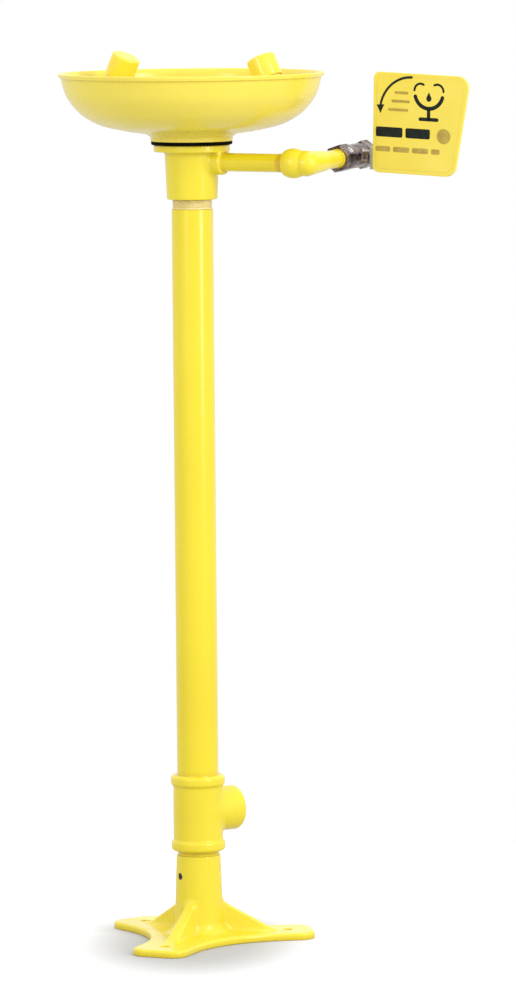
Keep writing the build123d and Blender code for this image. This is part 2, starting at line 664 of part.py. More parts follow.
def flag_label():
    """Thin printed sheet on the front of the flag."""
    front_y = FLAG_BACK_Y - FLAG_THICKNESS
    sheet = extrude(Plane.XZ * flag_outline(5.0), amount=0.3)
    return valve_frame() * Pos(0, front_y, 0) * sheet


def flag_screws():
    """Two short screws through the strap into the back of the flag."""
    front_y = FLAG_BACK_Y - FLAG_THICKNESS
    screws = []
    for x in (52.0, 82.0):
        seat_y = FLAG_BACK_Y + STRAP
        screw = rod(1.6, (x, front_y + 0.9, 0), (x, seat_y, 0))
        head = rod(3.6, (x, seat_y, 0), (x, seat_y + 2.2, 0))
        head = fillet(head.edges().filter_by(GeomType.CIRCLE).sort_by(Axis.Y)[-1], 1.2)
        slot = Pos(x, seat_y + 2.2, 0) * (Box(4.0, 2.0, 0.9) + Box(0.9, 2.0, 4.0))
        screws.append(valve_frame() * (screw + head - slot))
    return Compound(screws)


PARTS = {
    "floor_flange": floor_flange,
    "set_screws": set_screws,
    "base_stub": base_stub,
    "waste_tee": waste_tee,
    "pedestal_pipe": pedestal_pipe,
    "bowl_support": bowl_support,
    "bowl_gasket": bowl_gasket,
    "bowl": bowl,
    "bowl_screws": bowl_screws,
    "drain_strainer": drain_strainer,
    "riser_tube": riser_tube,
    "flow_control": flow_control,
    "spray_yoke": spray_yoke,
    "spray_head_left": lambda: spray_head(-1),
    "spray_head_right": lambda: spray_head(1),
    "spray_face_left": lambda: spray_face(-1),
    "spray_face_right": lambda: spray_face(1),
    "dust_cap_left": lambda: dust_cap(-1),
    "dust_cap_right": lambda: dust_cap(1),
    "supply_nipple": supply_nipple,
    "supply_elbow": supply_elbow,
    "valve_nipple": valve_nipple,
    "valve_body": valve_body,
    "valve_end_cap": valve_end_cap,
    "ball_seats": ball_seats,
    "valve_ball": valve_ball,
    "valve_stem": valve_stem,
    "stem_packing": stem_packing,
    "packing_nut": packing_nut,
    "flag_bracket": flag_bracket,
    "stem_washer": stem_washer,
    "stem_nut": stem_nut,
    "flag": flag,
    "flag_label": flag_label,
    "flag_screws": flag_screws,
}

os.makedirs("parts", exist_ok=True)
for node, make in PARTS.items():
    export_step(make(), f"parts/{node}.step")
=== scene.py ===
import json
import math

import bpy
import numpy as np
from mathutils import Matrix, Vector


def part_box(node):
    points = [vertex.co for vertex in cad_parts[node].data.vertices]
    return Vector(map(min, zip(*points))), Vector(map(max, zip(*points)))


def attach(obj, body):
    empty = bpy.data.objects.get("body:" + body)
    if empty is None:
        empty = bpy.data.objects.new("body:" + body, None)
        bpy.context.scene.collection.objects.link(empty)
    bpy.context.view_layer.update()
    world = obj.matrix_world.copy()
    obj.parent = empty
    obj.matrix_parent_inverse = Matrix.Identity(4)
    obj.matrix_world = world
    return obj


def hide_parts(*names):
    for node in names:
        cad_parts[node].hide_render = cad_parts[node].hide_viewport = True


# Pedestal eyewash station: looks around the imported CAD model.
# Shapes are written in millimetres in the model's own frame, and placed in metres.

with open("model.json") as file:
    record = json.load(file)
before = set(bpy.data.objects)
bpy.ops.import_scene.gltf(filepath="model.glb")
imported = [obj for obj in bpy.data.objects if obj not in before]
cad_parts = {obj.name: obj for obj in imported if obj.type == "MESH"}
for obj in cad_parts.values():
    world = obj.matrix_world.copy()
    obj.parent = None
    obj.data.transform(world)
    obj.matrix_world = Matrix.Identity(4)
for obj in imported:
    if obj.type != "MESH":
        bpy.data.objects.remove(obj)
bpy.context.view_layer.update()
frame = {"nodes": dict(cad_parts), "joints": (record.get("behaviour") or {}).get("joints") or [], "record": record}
NODES = frame["nodes"]
RECORD = frame["record"]
JOINTS = {joint["name"]: joint for joint in frame["joints"]}
MOUNTS = {mount["name"]: mount for mount in RECORD["mounts"]}
MM = 0.001


def z_range(node):
    """Lowest and highest height of a CAD node, in millimetres."""
    low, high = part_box(node)
    return low.z / MM, high.z / MM


# ---- heights read from the CAD model ----
COLLAR_TOP_Z = z_range("floor_flange")[1]
TEE_BOTTOM_Z, TEE_TOP_Z = z_range("waste_tee")
SUPPORT_BOTTOM_Z, SUPPORT_TOP_Z = z_range("bowl_support")
GASKET_TOP_Z = z_range("bowl_gasket")[1]
RIM_Z = z_range("bowl")[1]
BRANCH_Z = MOUNTS["waste_outlet"]["pos_m"][2] / MM
SUPPLY_Z = sum(z_range("supply_nipple")) / 2
HUB_TOP_Z = SUPPORT_TOP_Z - 6.7
FLANGE_BOTTOM_Z = SUPPORT_TOP_Z - 8.2
THREAD_BOTTOM_Z = SUPPORT_BOTTOM_Z - 11.0
YOKE_Z = z_range("flow_control")[0] + 7.5

# ---- radii and reaches, as in the CAD model ----
PIPE_R = 24.15
PIPE_BORE_R = 20.45
PIPE_THREAD_R = 23.0
PIPE_THREAD_LENGTH = 20.0
WATER_R = 10.67
WATER_BORE_R = 7.9
WATER_THREAD_R = 10.2
WATER_THREAD_LENGTH = 12.5
BRANCH_REACH = 52.5
BOSS_FACE_X = 44.5
ELBOW_X = 154.0
ELBOW_REACH = 28.4
ELBOW_OUTLET_Y = 38.0
ELBOW_R = 13.9
ELBOW_TAPER = 0.064
ELBOW_INLET_R = 13.6
ELBOW_BAND_R = 16.4
ELBOW_BAND_LENGTH = 20.8
ELBOW_BAND_ROUND = 9.6
VALVE_NEAR_Y = 70.0
VALVE_FAR_Y = 142.0
STEM_Y = 112.0
STEM_R = 4.1
VALVE_MOUTH_Y = STEM_Y + 14.0
CHAMBER_R = 14.3
STEM_BOSS_R = 8.5
STEM_BOSS_X = 22.0
BALL_ROOM_R = 11.2
PORT_R = 5.5
COLLAR_R = 5.6
COLLAR_ROOM_X = 12.4
GLAND_R = 6.6
GLAND_X = 14.5
HEX_LENGTH = 19.0
HEX_FLATS = 29.0
HEX_TURN = -20.0
PLUG_Y = 82.0
PLUG_TURN = 40.0
FLAG_FRONT_Y = 96.5
LABEL_FACE_Y = FLAG_FRONT_Y - 0.3

# ---- pipe thread pitches ----
LARGE_PITCH = 25.4 / 11.5
SMALL_PITCH = 25.4 / 14


# ---------------------------------------------------------------- places

def turn_z(angle):
    """Rotation about the pedestal axis, in degrees."""
    return Matrix.Rotation(math.radians(angle), 4, "Z")


def valve_place():
    """Frame of the valve from the flag's joint and the supply mount: Y along the bore, X along the stem."""
    x_axis = -Vector(JOINTS["flag_turn"]["axis"]).normalized()
    y_axis = Vector(MOUNTS["supply_inlet"]["axis"]).normalized()
    z_axis = x_axis.cross(y_axis).normalized()
    origin = Vector(JOINTS["flag_turn"]["pos_m"]) / MM - y_axis * STEM_Y
    place = Matrix((x_axis, y_axis, z_axis)).transposed().to_4x4()
    place.translation = origin
    return place


def elbow_place():
    """Frame of the elbow: its outlet points along the valve's bore."""
    y_axis = Vector(MOUNTS["supply_inlet"]["axis"]).normalized()
    x_axis = Vector((1, 0, 0))
    place = Matrix((x_axis, y_axis, x_axis.cross(y_axis))).transposed().to_4x4()
    place.translation = Vector((ELBOW_X, 0, SUPPLY_Z))
    return place


def head_place(side):
    """Frame of a spray head: origin at the centre of its cap's top, Z out of the cap."""
    joint = JOINTS["cap_right_lift"] if side > 0 else JOINTS["cap_left_lift"]
    z_axis = Vector(joint["axis"]).normalized()
    y_axis = Vector((0, 1, 0))
    place = Matrix((y_axis.cross(z_axis), y_axis, z_axis)).transposed().to_4x4()
    low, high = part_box("spray_face_right" if side > 0 else "spray_face_left")
    face_centre = (low + high) / 2 / MM
    place.translation = face_centre + z_axis * 7.0
    return place


VALVE = valve_place()
ELBOW = elbow_place()


# ---------------------------------------------------------------- distances, in millimetres

def round_max(a, b, radius):
    """Common part of two shapes, with its edge rounded."""
    over = np.hypot(np.maximum(a + radius, 0), np.maximum(b + radius, 0))
    return np.minimum(np.maximum(a, b), -radius) + over


def round_min(a, b, radius):
    """Both shapes together, with a hollow fillet between them."""
    return -round_max(-a, -b, radius)


def cut(a, b, radius=0.4):
    """First shape without the second."""
    return round_max(a, -b, radius)


def bar(p, start, end, radius, rim=0.4):
    """Round bar between two points."""
    start = np.asarray(start, float)
    run = np.asarray(end, float) - start
    length = np.linalg.norm(run)
    along = (p - start) @ (run / length)
    across = np.sqrt(np.maximum(((p - start) ** 2).sum(1) - along ** 2, 0))
    return round_max(across - radius, np.abs(along - length / 2) - length / 2, rim)


def hex_bar(p, low, high, flats, rim, turn=0.0):
    """Hexagonal bar along Y with turned-down corners, turned about Y by an angle in degrees."""
    across = np.hypot(p[:, 0], p[:, 2])
    angle = np.arctan2(p[:, 2], p[:, 0]) + math.radians(turn)
    sixth = np.abs(np.mod(angle, math.pi / 3) - math.pi / 6)
    side = across * np.cos(sixth) - flats / 2
    ends = np.abs(p[:, 1] - (low + high) / 2) - (high - low) / 2
    body = round_max(side, ends, rim)
    crown = (across - flats / 2 + ends * 1.7 - 1.2) / math.hypot(1, 1.7)
    return round_max(body, crown, rim)


def ball(p, centre, radius):
    """Sphere."""
    return np.linalg.norm(p - np.asarray(centre, float), axis=1) - radius


def polar(radius, angle, z):
    """Point at a radius and an angle in degrees about the pedestal axis."""
    a = math.radians(angle)
    return (radius * math.cos(a), radius * math.sin(a), z)


# ---------------------------------------------------------------- meshes

def finish_mesh(name, vertices, faces, place, sharp):
    """Blender object from millimetre vertices, smooth-shaded below the sharp angle."""
    mesh = bpy.data.meshes.new(name)
    mesh.from_pydata((np.asarray(vertices) * MM).tolist(), [], faces)
    mesh.validate()
    if place is not None:
        scaled = place.copy()
        scaled.translation = scaled.translation * MM
        mesh.transform(scaled)
    mesh.update()
    mesh.shade_smooth()
    mesh.set_sharp_from_angle(angle=math.radians(sharp))
    piece = bpy.data.objects.new(name, mesh)
    bpy.context.scene.collection.objects.link(piece)
    return piece


BLOCK = 4


def sample(distance, low, counts, step):
    """Distances on a grid, worked out only in the blocks that the surface passes through."""
    axes = [low[i] + step * np.arange(counts[i]) for i in range(3)]
    coarse = [axis[::BLOCK] for axis in axes]
    grid = np.stack(np.meshgrid(*coarse, indexing="ij"), -1)
    rough = distance(grid.reshape(-1, 3)).reshape(grid.shape[:3])
    close = np.abs(rough) < BLOCK * step * 1.8
    blocks = np.zeros([n - 1 for n in close.shape], bool)
    for i in (0, 1):
        for j in (0, 1):
            for k in (0, 1):
                last = [n - 1 for n in close.shape]
                blocks |= close[i:i + last[0], j:j + last[1], k:k + last[2]]
    needed = np.zeros(counts, bool)
    for corner in np.ndindex(BLOCK + 1, BLOCK + 1, BLOCK + 1):
        view = needed[corner[0]::BLOCK, corner[1]::BLOCK, corner[2]::BLOCK]
        view[:blocks.shape[0], :blocks.shape[1], :blocks.shape[2]] |= blocks
    value = rough
    for axis in range(3):
        value = np.repeat(value, BLOCK, axis)
    value = value[:counts[0], :counts[1], :counts[2]].copy()
    index = np.argwhere(needed)
    value[needed] = distance(np.asarray(low) + step * index)
    return value


def settle(points, distance, step):
    """Points moved on to the surface by a few Newton steps."""
    tiny = step * 0.05
    for _ in range(3):
        here = distance(points)
        slope = np.stack([(distance(points + tiny * np.eye(3)[i]) - here) / tiny for i in range(3)], 1)
        size = np.maximum((slope ** 2).sum(1), 0.25)
        move = -slope * (here / size)[:, None]
        length = np.linalg.norm(move, axis=1)
        move *= np.minimum(1, 0.5 * step / np.maximum(length, 1e-9))[:, None]
        points = points + move
    return points


def skin(name, low, high, step, distance, place=None, sharp=55):
    """Quad mesh of the surface where the distance is zero, between two corners."""
    low = np.asarray(low, float) - 1.5 * step
    span = np.asarray(high, float) + 1.5 * step - low
    counts = [int(math.ceil(s / step / BLOCK)) * BLOCK + 1 for s in span]
    value = sample(distance, low, counts, step)
    cells = np.array(counts) - 1
    rings = []
    crossings = []
    for axis in range(3):
        u = (axis + 1) % 3
        v = (axis + 2) % 3
        near = np.take(value, range(counts[axis] - 1), axis)
        far = np.take(value, range(1, counts[axis]), axis)
        index = np.argwhere((near < 0) != (far < 0))
        a = near[tuple(index.T)]
        b = far[tuple(index.T)]
        point = index.astype(float)
        point[:, axis] += a / (a - b)
        ring = []
        for du, dv in ((0, 0), (1, 0), (1, 1), (0, 1)):
            cell = index.copy()
            cell[:, u] -= du
            cell[:, v] -= dv
            ring.append((cell[:, 0] * cells[1] + cell[:, 1]) * cells[2] + cell[:, 2])
        ring = np.stack(ring, 1)
        ring[a > 0] = ring[a > 0][:, ::-1]
        rings.append(ring)
        crossings.append(point)
    unique = np.unique(np.concatenate(rings))
    total = np.zeros((len(unique), 3))
    hits = np.zeros(len(unique))
    corners = [np.searchsorted(unique, ring) for ring in rings]
    for point, slots in zip(crossings, corners):
        for column in range(4):
            slot = slots[:, column]
            hits += np.bincount(slot, minlength=len(unique))
            for i in range(3):
                total[:, i] += np.bincount(slot, weights=point[:, i], minlength=len(unique))
    vertices = low + step * (total / hits[:, None])
    vertices = settle(vertices, distance, step)
    return finish_mesh(name, vertices, np.concatenate(corners).tolist(), place, sharp)


def soften(points, steps=6):
    """Closed (radius, height, corner radius) outline with its corners rounded."""
    outline = []
    for i, (r, z, corner) in enumerate(points):
        if corner == 0:
            outline.append((r, z))
            continue
        here = Vector((r, z))
        back = (Vector(points[i - 1][:2]) - here).normalized()
        on = (Vector(points[(i + 1) % len(points)][:2]) - here).normalized()
        half = back.angle(on) / 2
        tangent = corner / math.tan(half)
        middle = here + (back + on).normalized() * (corner / math.sin(half))
        first = here + back * tangent - middle
        last = here + on * tangent - middle
        sweep = math.pi - 2 * half
        for k in range(steps + 1):
            t = k / steps
            point = (first * math.sin((1 - t) * sweep) + last * math.sin(t * sweep)) / math.sin(sweep)
            outline.append(tuple(middle + point))
    return outline


def lathe(name, outline, segments=96, place=None, sharp=40, radius_at=None):
    """Turned mesh from a closed (radius, height) outline that runs anticlockwise.
    radius_at changes a point's radius by its height and angle, as on a thread."""
    angles = np.arange(segments) * 2 * math.pi / segments
    rows = []
    for r, z in outline:
        radius = np.full(segments, r) if radius_at is None else radius_at(r, z, angles)
        rows.append(np.stack([radius * np.cos(angles), radius * np.sin(angles), np.full(segments, z)], 1))
    vertices = np.concatenate(rows)
    count = len(outline)
    faces = []
    for i in range(count):
        j = (i + 1) % count
        if outline[i][0] < 1e-6 and outline[j][0] < 1e-6:
            continue
        for k in range(segments):
            m = (k + 1) % segments
            quad = (i * segments + k, i * segments + m, j * segments + m, j * segments + k)
            if outline[i][0] < 1e-6:
                quad = (i * segments, quad[2], quad[3])
            elif outline[j][0] < 1e-6:
                quad = (quad[0], quad[1], j * segments)
            faces.append(quad)
    used = sorted({index for face in faces for index in face})
    renumber = {old: new for new, old in enumerate(used)}
    faces = [tuple(renumber[index] for index in face) for face in faces]
    return finish_mesh(name, vertices[used], faces, place, sharp)


def thread_outline(outer, inner, low, high, pitch, outside):
    """Tube outline with enough rows on its threaded side to carry a thread."""
    rows = np.linspace(low, high, int((high - low) / pitch * 10) + 1)
    threaded = [(outer if outside else inner, z) for z in rows]
    if outside:
        return [(inner, low)] + threaded + [(inner, high)]
    return [(outer, low), (outer, high)] + threaded[::-1]


def thread_radius(base, depth, pitch, low, high):
    """Function for lathe: cuts a V thread of a depth into the wall at the base radius."""
    def radius_at(r, z, angles):
        if abs(r - base) > 1e-6:
            return np.full(len(angles), r)
        phase = np.mod(z / pitch - angles / (2 * math.pi), 1)
        groove = np.clip(1.25 - 2.6 * np.abs(phase - 0.5), 0, 1)
        fade = min(1.0, (z - low) / pitch, (high - z) / pitch)
        return base - depth * groove * max(fade, 0)
    return radius_at


# ---------------------------------------------------------------- materials

def nodes_of(name):
    """New material with its node tree and shader."""
    material = bpy.data.materials.new(name)
    material.use_nodes = True
    tree = material.node_tree
    return material, tree, tree.nodes["Principled BSDF"]


def noise(tree, scale, detail=3.0, stretch=(1, 1, 1)):
    """Noise in the piece's own space; the scale counts features per metre."""
    place = tree.nodes.new("ShaderNodeTexCoord")
    mapping = tree.nodes.new("ShaderNodeMapping")
    mapping.inputs["Scale"].default_value = stretch
    texture = tree.nodes.new("ShaderNodeTexNoise")
    texture.inputs["Scale"].default_value = scale
    texture.inputs["Detail"].default_value = detail
    tree.links.new(place.outputs["Object"], mapping.inputs["Vector"])
    tree.links.new(mapping.outputs["Vector"], texture.inputs["Vector"])
    return texture.outputs["Fac"]


def ramp(tree, value, stops):
    """Colour ramp over a value, from (position, colour) stops."""
    node = tree.nodes.new("ShaderNodeValToRGB")
    elements = node.color_ramp.elements
    while len(elements) < len(stops):
        elements.new(0.5)
    for element, (position, colour) in zip(elements, stops):
        element.position = position
        element.color = (*colour, 1)
    tree.links.new(value, node.inputs["Fac"])
    return node.outputs["Color"]


def spread(tree, value, low, high):
    """Noise value spread over a range."""
    node = tree.nodes.new("ShaderNodeMapRange")
    node.inputs["From Min"].default_value = 0.3
    node.inputs["From Max"].default_value = 0.7
    node.inputs["To Min"].default_value = low
    node.inputs["To Max"].default_value = high
    tree.links.new(value, node.inputs["Value"])
    return node.outputs["Result"]


def bump(tree, shader, layers):
    """Bumps one over the other: (height, strength, distance in millimetres)."""
    normal = None
    for height, strength, distance in layers:
        node = tree.nodes.new("ShaderNodeBump")
        node.inputs["Strength"].default_value = strength
        node.inputs["Distance"].default_value = distance * MM
        tree.links.new(height, node.inputs["Height"])
        if normal is not None:
            tree.links.new(normal, node.inputs["Normal"])
        normal = node.outputs["Normal"]
    tree.links.new(normal, shader.inputs["Normal"])


def paint_corner_shade(tree, colour, tint, reach):
    """Colour with painted shade in inside corners: it deepens towards the tint where ambient occlusion finds
    nearby surfaces.
    """
    shade = tree.nodes.new("ShaderNodeAmbientOcclusion")
    shade.samples = 4
    shade.inputs["Distance"].default_value = reach * MM
    mix = tree.nodes.new("ShaderNodeMix")
    mix.data_type = "RGBA"
    mix.inputs["A"].default_value = (*tint, 1)
    tree.links.new(shade.outputs["AO"], mix.inputs["Factor"])
    tree.links.new(colour, mix.inputs["B"])
    return mix.outputs["Result"]


YELLOW = (0.765, 0.615, 0.018)
YELLOW_DEEP = (0.74, 0.58, 0.015)
YELLOW_PALE = (0.785, 0.64, 0.025)
BOWL_SHADES = ((0.775, 0.63, 0.062), (0.79, 0.65, 0.075), (0.80, 0.66, 0.088))
# tint of the painted shade in inside corners
CORNER_SHADE = (0.56, 0.37, 0.010)


def coat(name, colours, gloss, grain, mottle=9.0, corner=CORNER_SHADE, corner_shade_reach=7.0, coat_roughness=0.14):
    """Glossy yellow coating: slow colour drift, orange peel, and painted shade in inside corners.
    grain is a list of (features per metre, strength, height in millimetres)."""
    material, tree, shader = nodes_of(name)
    deep, middle, pale = colours
    drift = ramp(tree, noise(tree, mottle, 4.0), [(0.3, deep), (0.5, middle), (0.72, pale)])
    drift = paint_corner_shade(tree, drift, corner, corner_shade_reach)
    tree.links.new(drift, shader.inputs["Base Color"])
    tree.links.new(spread(tree, noise(tree, 70.0), *gloss), shader.inputs["Roughness"])
    shader.inputs["Specular IOR Level"].default_value = 0.35
    shader.inputs["Coat Weight"].default_value = 0.3
    shader.inputs["Coat Roughness"].default_value = coat_roughness
    bump(tree, shader, [(noise(tree, scale), strength, height) for scale, strength, height in grain])
    return material


def metal(name, colours, gloss, scale, stretch, height):
    """Bare or plated metal with drifting tint and fine tool marks."""
    material, tree, shader = nodes_of(name)
    tint = ramp(tree, noise(tree, scale * 0.3, 4.0),
                [(0.32, colours[0]), (0.5, colours[1]), (0.68, colours[2])])
    tree.links.new(tint, shader.inputs["Base Color"])
    shader.inputs["Metallic"].default_value = 1.0
    marks = noise(tree, scale, 5.0, stretch)
    tree.links.new(spread(tree, marks, *gloss), shader.inputs["Roughness"])
    bump(tree, shader, [(marks, 0.35, height)])
    return material


def plain_plastic(name, colours, gloss, scale, height, specular=0.5):
    """Moulded plastic or rubber with a fine texture."""
    material, tree, shader = nodes_of(name)
    tint = ramp(tree, noise(tree, scale * 0.1, 4.0), [(0.35, colours[0]), (0.65, colours[1])])
    tree.links.new(tint, shader.inputs["Base Color"])
    tree.links.new(spread(tree, noise(tree, scale * 0.3), *gloss), shader.inputs["Roughness"])
    shader.inputs["Specular IOR Level"].default_value = specular
    bump(tree, shader, [(noise(tree, scale), 0.4, height)])
    return material


SHADES = (YELLOW_DEEP, YELLOW, YELLOW_PALE)
IRON_SHADES = ((0.75, 0.60, 0.020), (0.775, 0.638, 0.026), (0.795, 0.662, 0.034))
IRON_COAT = coat("iron_coat", IRON_SHADES, (0.24, 0.38), [(140.0, 0.5, 0.5), (620.0, 0.35, 0.12)])
PIPE_COAT = coat("pipe_coat", SHADES, (0.2, 0.3), [(260.0, 0.3, 0.06), (900.0, 0.25, 0.04)], 5.0,
                 coat_roughness=0.22)
# darker orange coat for the sleeve on the supply nipple at the elbow: a painted shadow of the elbow's band
SHADOW_SLEEVE_COAT = coat("shadow_sleeve_coat", ((0.60, 0.36, 0.012), (0.66, 0.42, 0.014), (0.72, 0.48, 0.016)), (0.3, 0.45),
                 [(500.0, 0.3, 0.06)], 40.0, coat_roughness=0.25)
THREAD_COAT = coat("thread_coat", ((0.72, 0.6, 0.24), (0.84, 0.74, 0.36), (0.9, 0.82, 0.48)), (0.3, 0.5),
                   [(900.0, 0.4, 0.08)], 60.0, (0.6, 0.46, 0.16), 2.0)
BOWL_GLOSS = coat("bowl_gloss", BOWL_SHADES, (0.24, 0.34), [(700.0, 0.4, 0.05), (1500.0, 0.4, 0.03)], 4.0,
                  corner_shade_reach=4.0, coat_roughness=0.2)
CAP_SHADES = ((0.77, 0.62, 0.03), (0.79, 0.64, 0.04), (0.81, 0.66, 0.05))
CAP_GLOSS = coat("cap_gloss", CAP_SHADES, (0.2, 0.3), [(900.0, 0.3, 0.04)], 12.0, corner_shade_reach=4.0)
FLAG_SHADES = ((0.78, 0.61, 0.06), (0.80, 0.64, 0.075), (0.82, 0.66, 0.09))
FLAG_SATIN = coat("flag_satin", FLAG_SHADES, (0.32, 0.44), [(1100.0, 0.35, 0.05)], 10.0, corner_shade_reach=1.0)
LABEL_FILM = coat("label_film", FLAG_SHADES, (0.32, 0.44), [(1600.0, 0.3, 0.03)], 20.0, corner_shade_reach=0.5)
INK = plain_plastic("ink", ((0.003, 0.006, 0.005), (0.010, 0.015, 0.012)), (0.5, 0.65), 1500.0, 0.02, 0.2)
FAINT_INK = plain_plastic("faint_ink", ((0.36, 0.25, 0.03), (0.46, 0.33, 0.05)), (0.4, 0.55), 1500.0, 0.02)
RUBBER = plain_plastic(
    "rubber", ((0.001, 0.001, 0.001), (0.003, 0.003, 0.003)), (0.7, 0.85), 900.0, 0.1, 0.05)
FACE_PLASTIC = plain_plastic(
    "face_plastic", ((0.55, 0.55, 0.53), (0.68, 0.68, 0.66)), (0.35, 0.5), 800.0, 0.05)
SEAL = plain_plastic("seal", ((0.72, 0.72, 0.7), (0.85, 0.85, 0.83)), (0.4, 0.55), 700.0, 0.04)
NICKEL = metal("dull_nickel", ((0.06, 0.04, 0.045), (0.19, 0.155, 0.15), (0.36, 0.29, 0.23)), (0.16, 0.36),
               400.0, (1, 1, 1), 0.12)
BLACK_STEEL = plain_plastic(
    "black_oxide", ((0.012, 0.010, 0.009), (0.03, 0.026, 0.022)), (0.35, 0.5), 900.0, 0.05)
STRAP = metal("brushed_strap", ((0.42, 0.41, 0.4), (0.52, 0.51, 0.5), (0.6, 0.59, 0.57)), (0.24, 0.4),
              900.0, (0.06, 1, 1), 0.04)
STAINLESS = metal("stainless", ((0.5, 0.5, 0.49), (0.58, 0.58, 0.57), (0.64, 0.64, 0.62)), (0.2, 0.34),
                  1200.0, (1, 1, 0.2), 0.03)
CHROME = metal("chrome", ((0.7, 0.7, 0.7), (0.76, 0.76, 0.76), (0.8, 0.8, 0.8)), (0.06, 0.12),
               500.0, (1, 1, 1), 0.01)


def dress(piece, material):
    """Gives a piece its only material."""
    piece.data.materials.clear()
    piece.data.materials.append(material)


def add(piece, material, body="root", replaces=None):
    """Dresses a new piece and its body, and hides the CAD node it stands for."""
    dress(piece, material)
    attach(piece, body)
    if replaces:
        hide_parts(replaces)
    return piece


# ---------------------------------------------------------------- pedestal

FOOT_ANGLES = (38.0, 158.0, 278.0)
FOOT_LENGTH = 135.0
FOOT_HALF_WIDTH = 33.5
FOOT_CORNER_R = 19.0
WEB_R = 130.0
PLATE_TOP_Z = 8.2
RIB_REACH = 90.0
RIB_TOP_Z = 44.5
RIB_HALF_WIDTH = 7.8
COLLAR_ROOT_R = 27.8
COLLAR_TIP_R = 25.75
STUB_FOOT_Z = 14.0
SET_SCREW_Z = 76.6
SET_SCREW_ANGLES = (-116.0, 64.0)
BRANCH_ANGLE = 64.0


def fold_feet(p):
    """Plan coordinates along and beside the nearest foot, and half the angle to its neighbour."""
    radius = np.hypot(p[:, 0], p[:, 1])
    bearing = np.degrees(np.arctan2(p[:, 1], p[:, 0]))
    turn = np.full(len(p), 180.0)
    half = np.full(len(p), 60.0)
    for i, angle in enumerate(FOOT_ANGLES):
        ahead = (FOOT_ANGLES[(i + 1) % 3] - angle) % 360
        behind = (angle - FOOT_ANGLES[i - 1]) % 360
        delta = np.mod(bearing - angle + 180, 360) - 180
        gap = np.where(delta > 0, ahead, behind) / 2
        mine = np.abs(delta) <= gap
        turn = np.where(mine, delta, turn)
        half = np.where(mine, gap, half)
    turn = np.radians(turn)
    return radius * np.cos(turn), radius * np.abs(np.sin(turn)), np.radians(half)


def foot_plan(along, beside, half):
    """Distance in plan to a rounded foot with concave webs to its neighbours."""
    ahead = along - (FOOT_LENGTH - FOOT_CORNER_R)
    aside = beside - (FOOT_HALF_WIDTH - FOOT_CORNER_R)
    foot = np.hypot(np.maximum(ahead, 0), np.maximum(aside, 0))
    foot = foot + np.minimum(np.maximum(ahead, aside), 0) - FOOT_CORNER_R
    web_along = (FOOT_HALF_WIDTH + WEB_R) / np.tan(half)
    web = WEB_R - np.hypot(along - web_along, beside - FOOT_HALF_WIDTH - WEB_R)
    return np.where(along < web_along, web, foot)


def flange_distance(p):
    """Three-footed floor flange with a ribbed, tapered collar."""
    along, beside, half = fold_feet(p)
    z = p[:, 2]
    radius = np.hypot(p[:, 0], p[:, 1])
    crown = z - PLATE_TOP_Z - 0.012 * np.maximum(80 - along, 0)
    body = round_max(foot_plan(along, beside, half), crown, 3.2)
    taper = (COLLAR_ROOT_R - COLLAR_TIP_R) / (COLLAR_TOP_Z - RIB_TOP_Z)
    collar = round_max(radius - COLLAR_TIP_R - taper * (COLLAR_TOP_Z - z), z - COLLAR_TOP_Z, 1.2)
    body = round_min(body, collar, 13.0)
    rise = math.hypot(RIB_REACH - COLLAR_ROOT_R, RIB_TOP_Z - PLATE_TOP_Z)
    slope_along = (RIB_TOP_Z - PLATE_TOP_Z) / rise
    slope_up = (RIB_REACH - COLLAR_ROOT_R) / rise
    top = (along - RIB_REACH) * slope_along + (z - PLATE_TOP_Z) * slope_up
    sides = beside - RIB_HALF_WIDTH + 0.06 * (z - PLATE_TOP_Z)
    rib = round_max(sides, top, 2.6)
    rib = np.maximum(rib, 10 - along)
    body = round_min(body, rib, 6.0)
    body = round_max(body, -z, 0.6)
    spot = np.hypot(along - 105.0, beside)
    body = cut(body, spot - 5.5, 0.7)
    body = cut(body, np.maximum(radius - PIPE_R + 1.0, STUB_FOOT_Z - z), 0.6)
    body = cut(body, radius - PIPE_BORE_R, 0.6)
    for angle in SET_SCREW_ANGLES:
        hole = bar(p, polar(20, angle, SET_SCREW_Z), polar(40, angle, SET_SCREW_Z), 4.0)
        body = cut(body, hole, 0.5)
    return body


low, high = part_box("floor_flange")
flange = skin("floor_flange_casting", low / MM, high / MM, 1.3, flange_distance)
add(flange, IRON_COAT, replaces="floor_flange")


def tee_distance(p):
    """Banded tee with a smaller side outlet, which grows out of the body in a soft fillet."""
    z = p[:, 2]
    radius = np.hypot(p[:, 0], p[:, 1])
    middle = (TEE_BOTTOM_Z + TEE_TOP_Z) / 2
    half = (TEE_TOP_Z - TEE_BOTTOM_Z) / 2
    height = np.abs(z - middle) - half
    body = round_max(radius - 29.0, height, 2.0)
    branch = bar(p, polar(0, 0, BRANCH_Z), polar(BRANCH_REACH, BRANCH_ANGLE, BRANCH_Z), 26.0, 4.5)
    body = round_min(body, branch, 4.5)
    band_height = 12.8
    low_band = round_max(radius - 31.7, np.abs(z - TEE_BOTTOM_Z - band_height / 2) - band_height / 2, 4.2)
    high_band = round_max(radius - 31.7, np.abs(z - TEE_TOP_Z + band_height / 2) - band_height / 2, 4.2)
    body = round_min(body, np.minimum(low_band, high_band), 1.3)
    body = cut(body, radius - PIPE_BORE_R, 0.8)
    body = cut(body, round_max(radius - PIPE_R - 0.2, 18 - np.abs(z - middle), 0.3), 1.0)
    bore = bar(p, polar(0, 0, BRANCH_Z), polar(BRANCH_REACH + 9, BRANCH_ANGLE, BRANCH_Z), 18.5)
    socket = bar(p, polar(BRANCH_REACH - 19, BRANCH_ANGLE, BRANCH_Z),
                 polar(BRANCH_REACH + 9, BRANCH_ANGLE, BRANCH_Z), 21.6)
    return cut(body, np.minimum(bore, socket), 1.4)


low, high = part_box("waste_tee")
tee = skin("waste_tee_casting", low / MM, high / MM, 1.0, tee_distance)
add(tee, IRON_COAT, replaces="waste_tee")

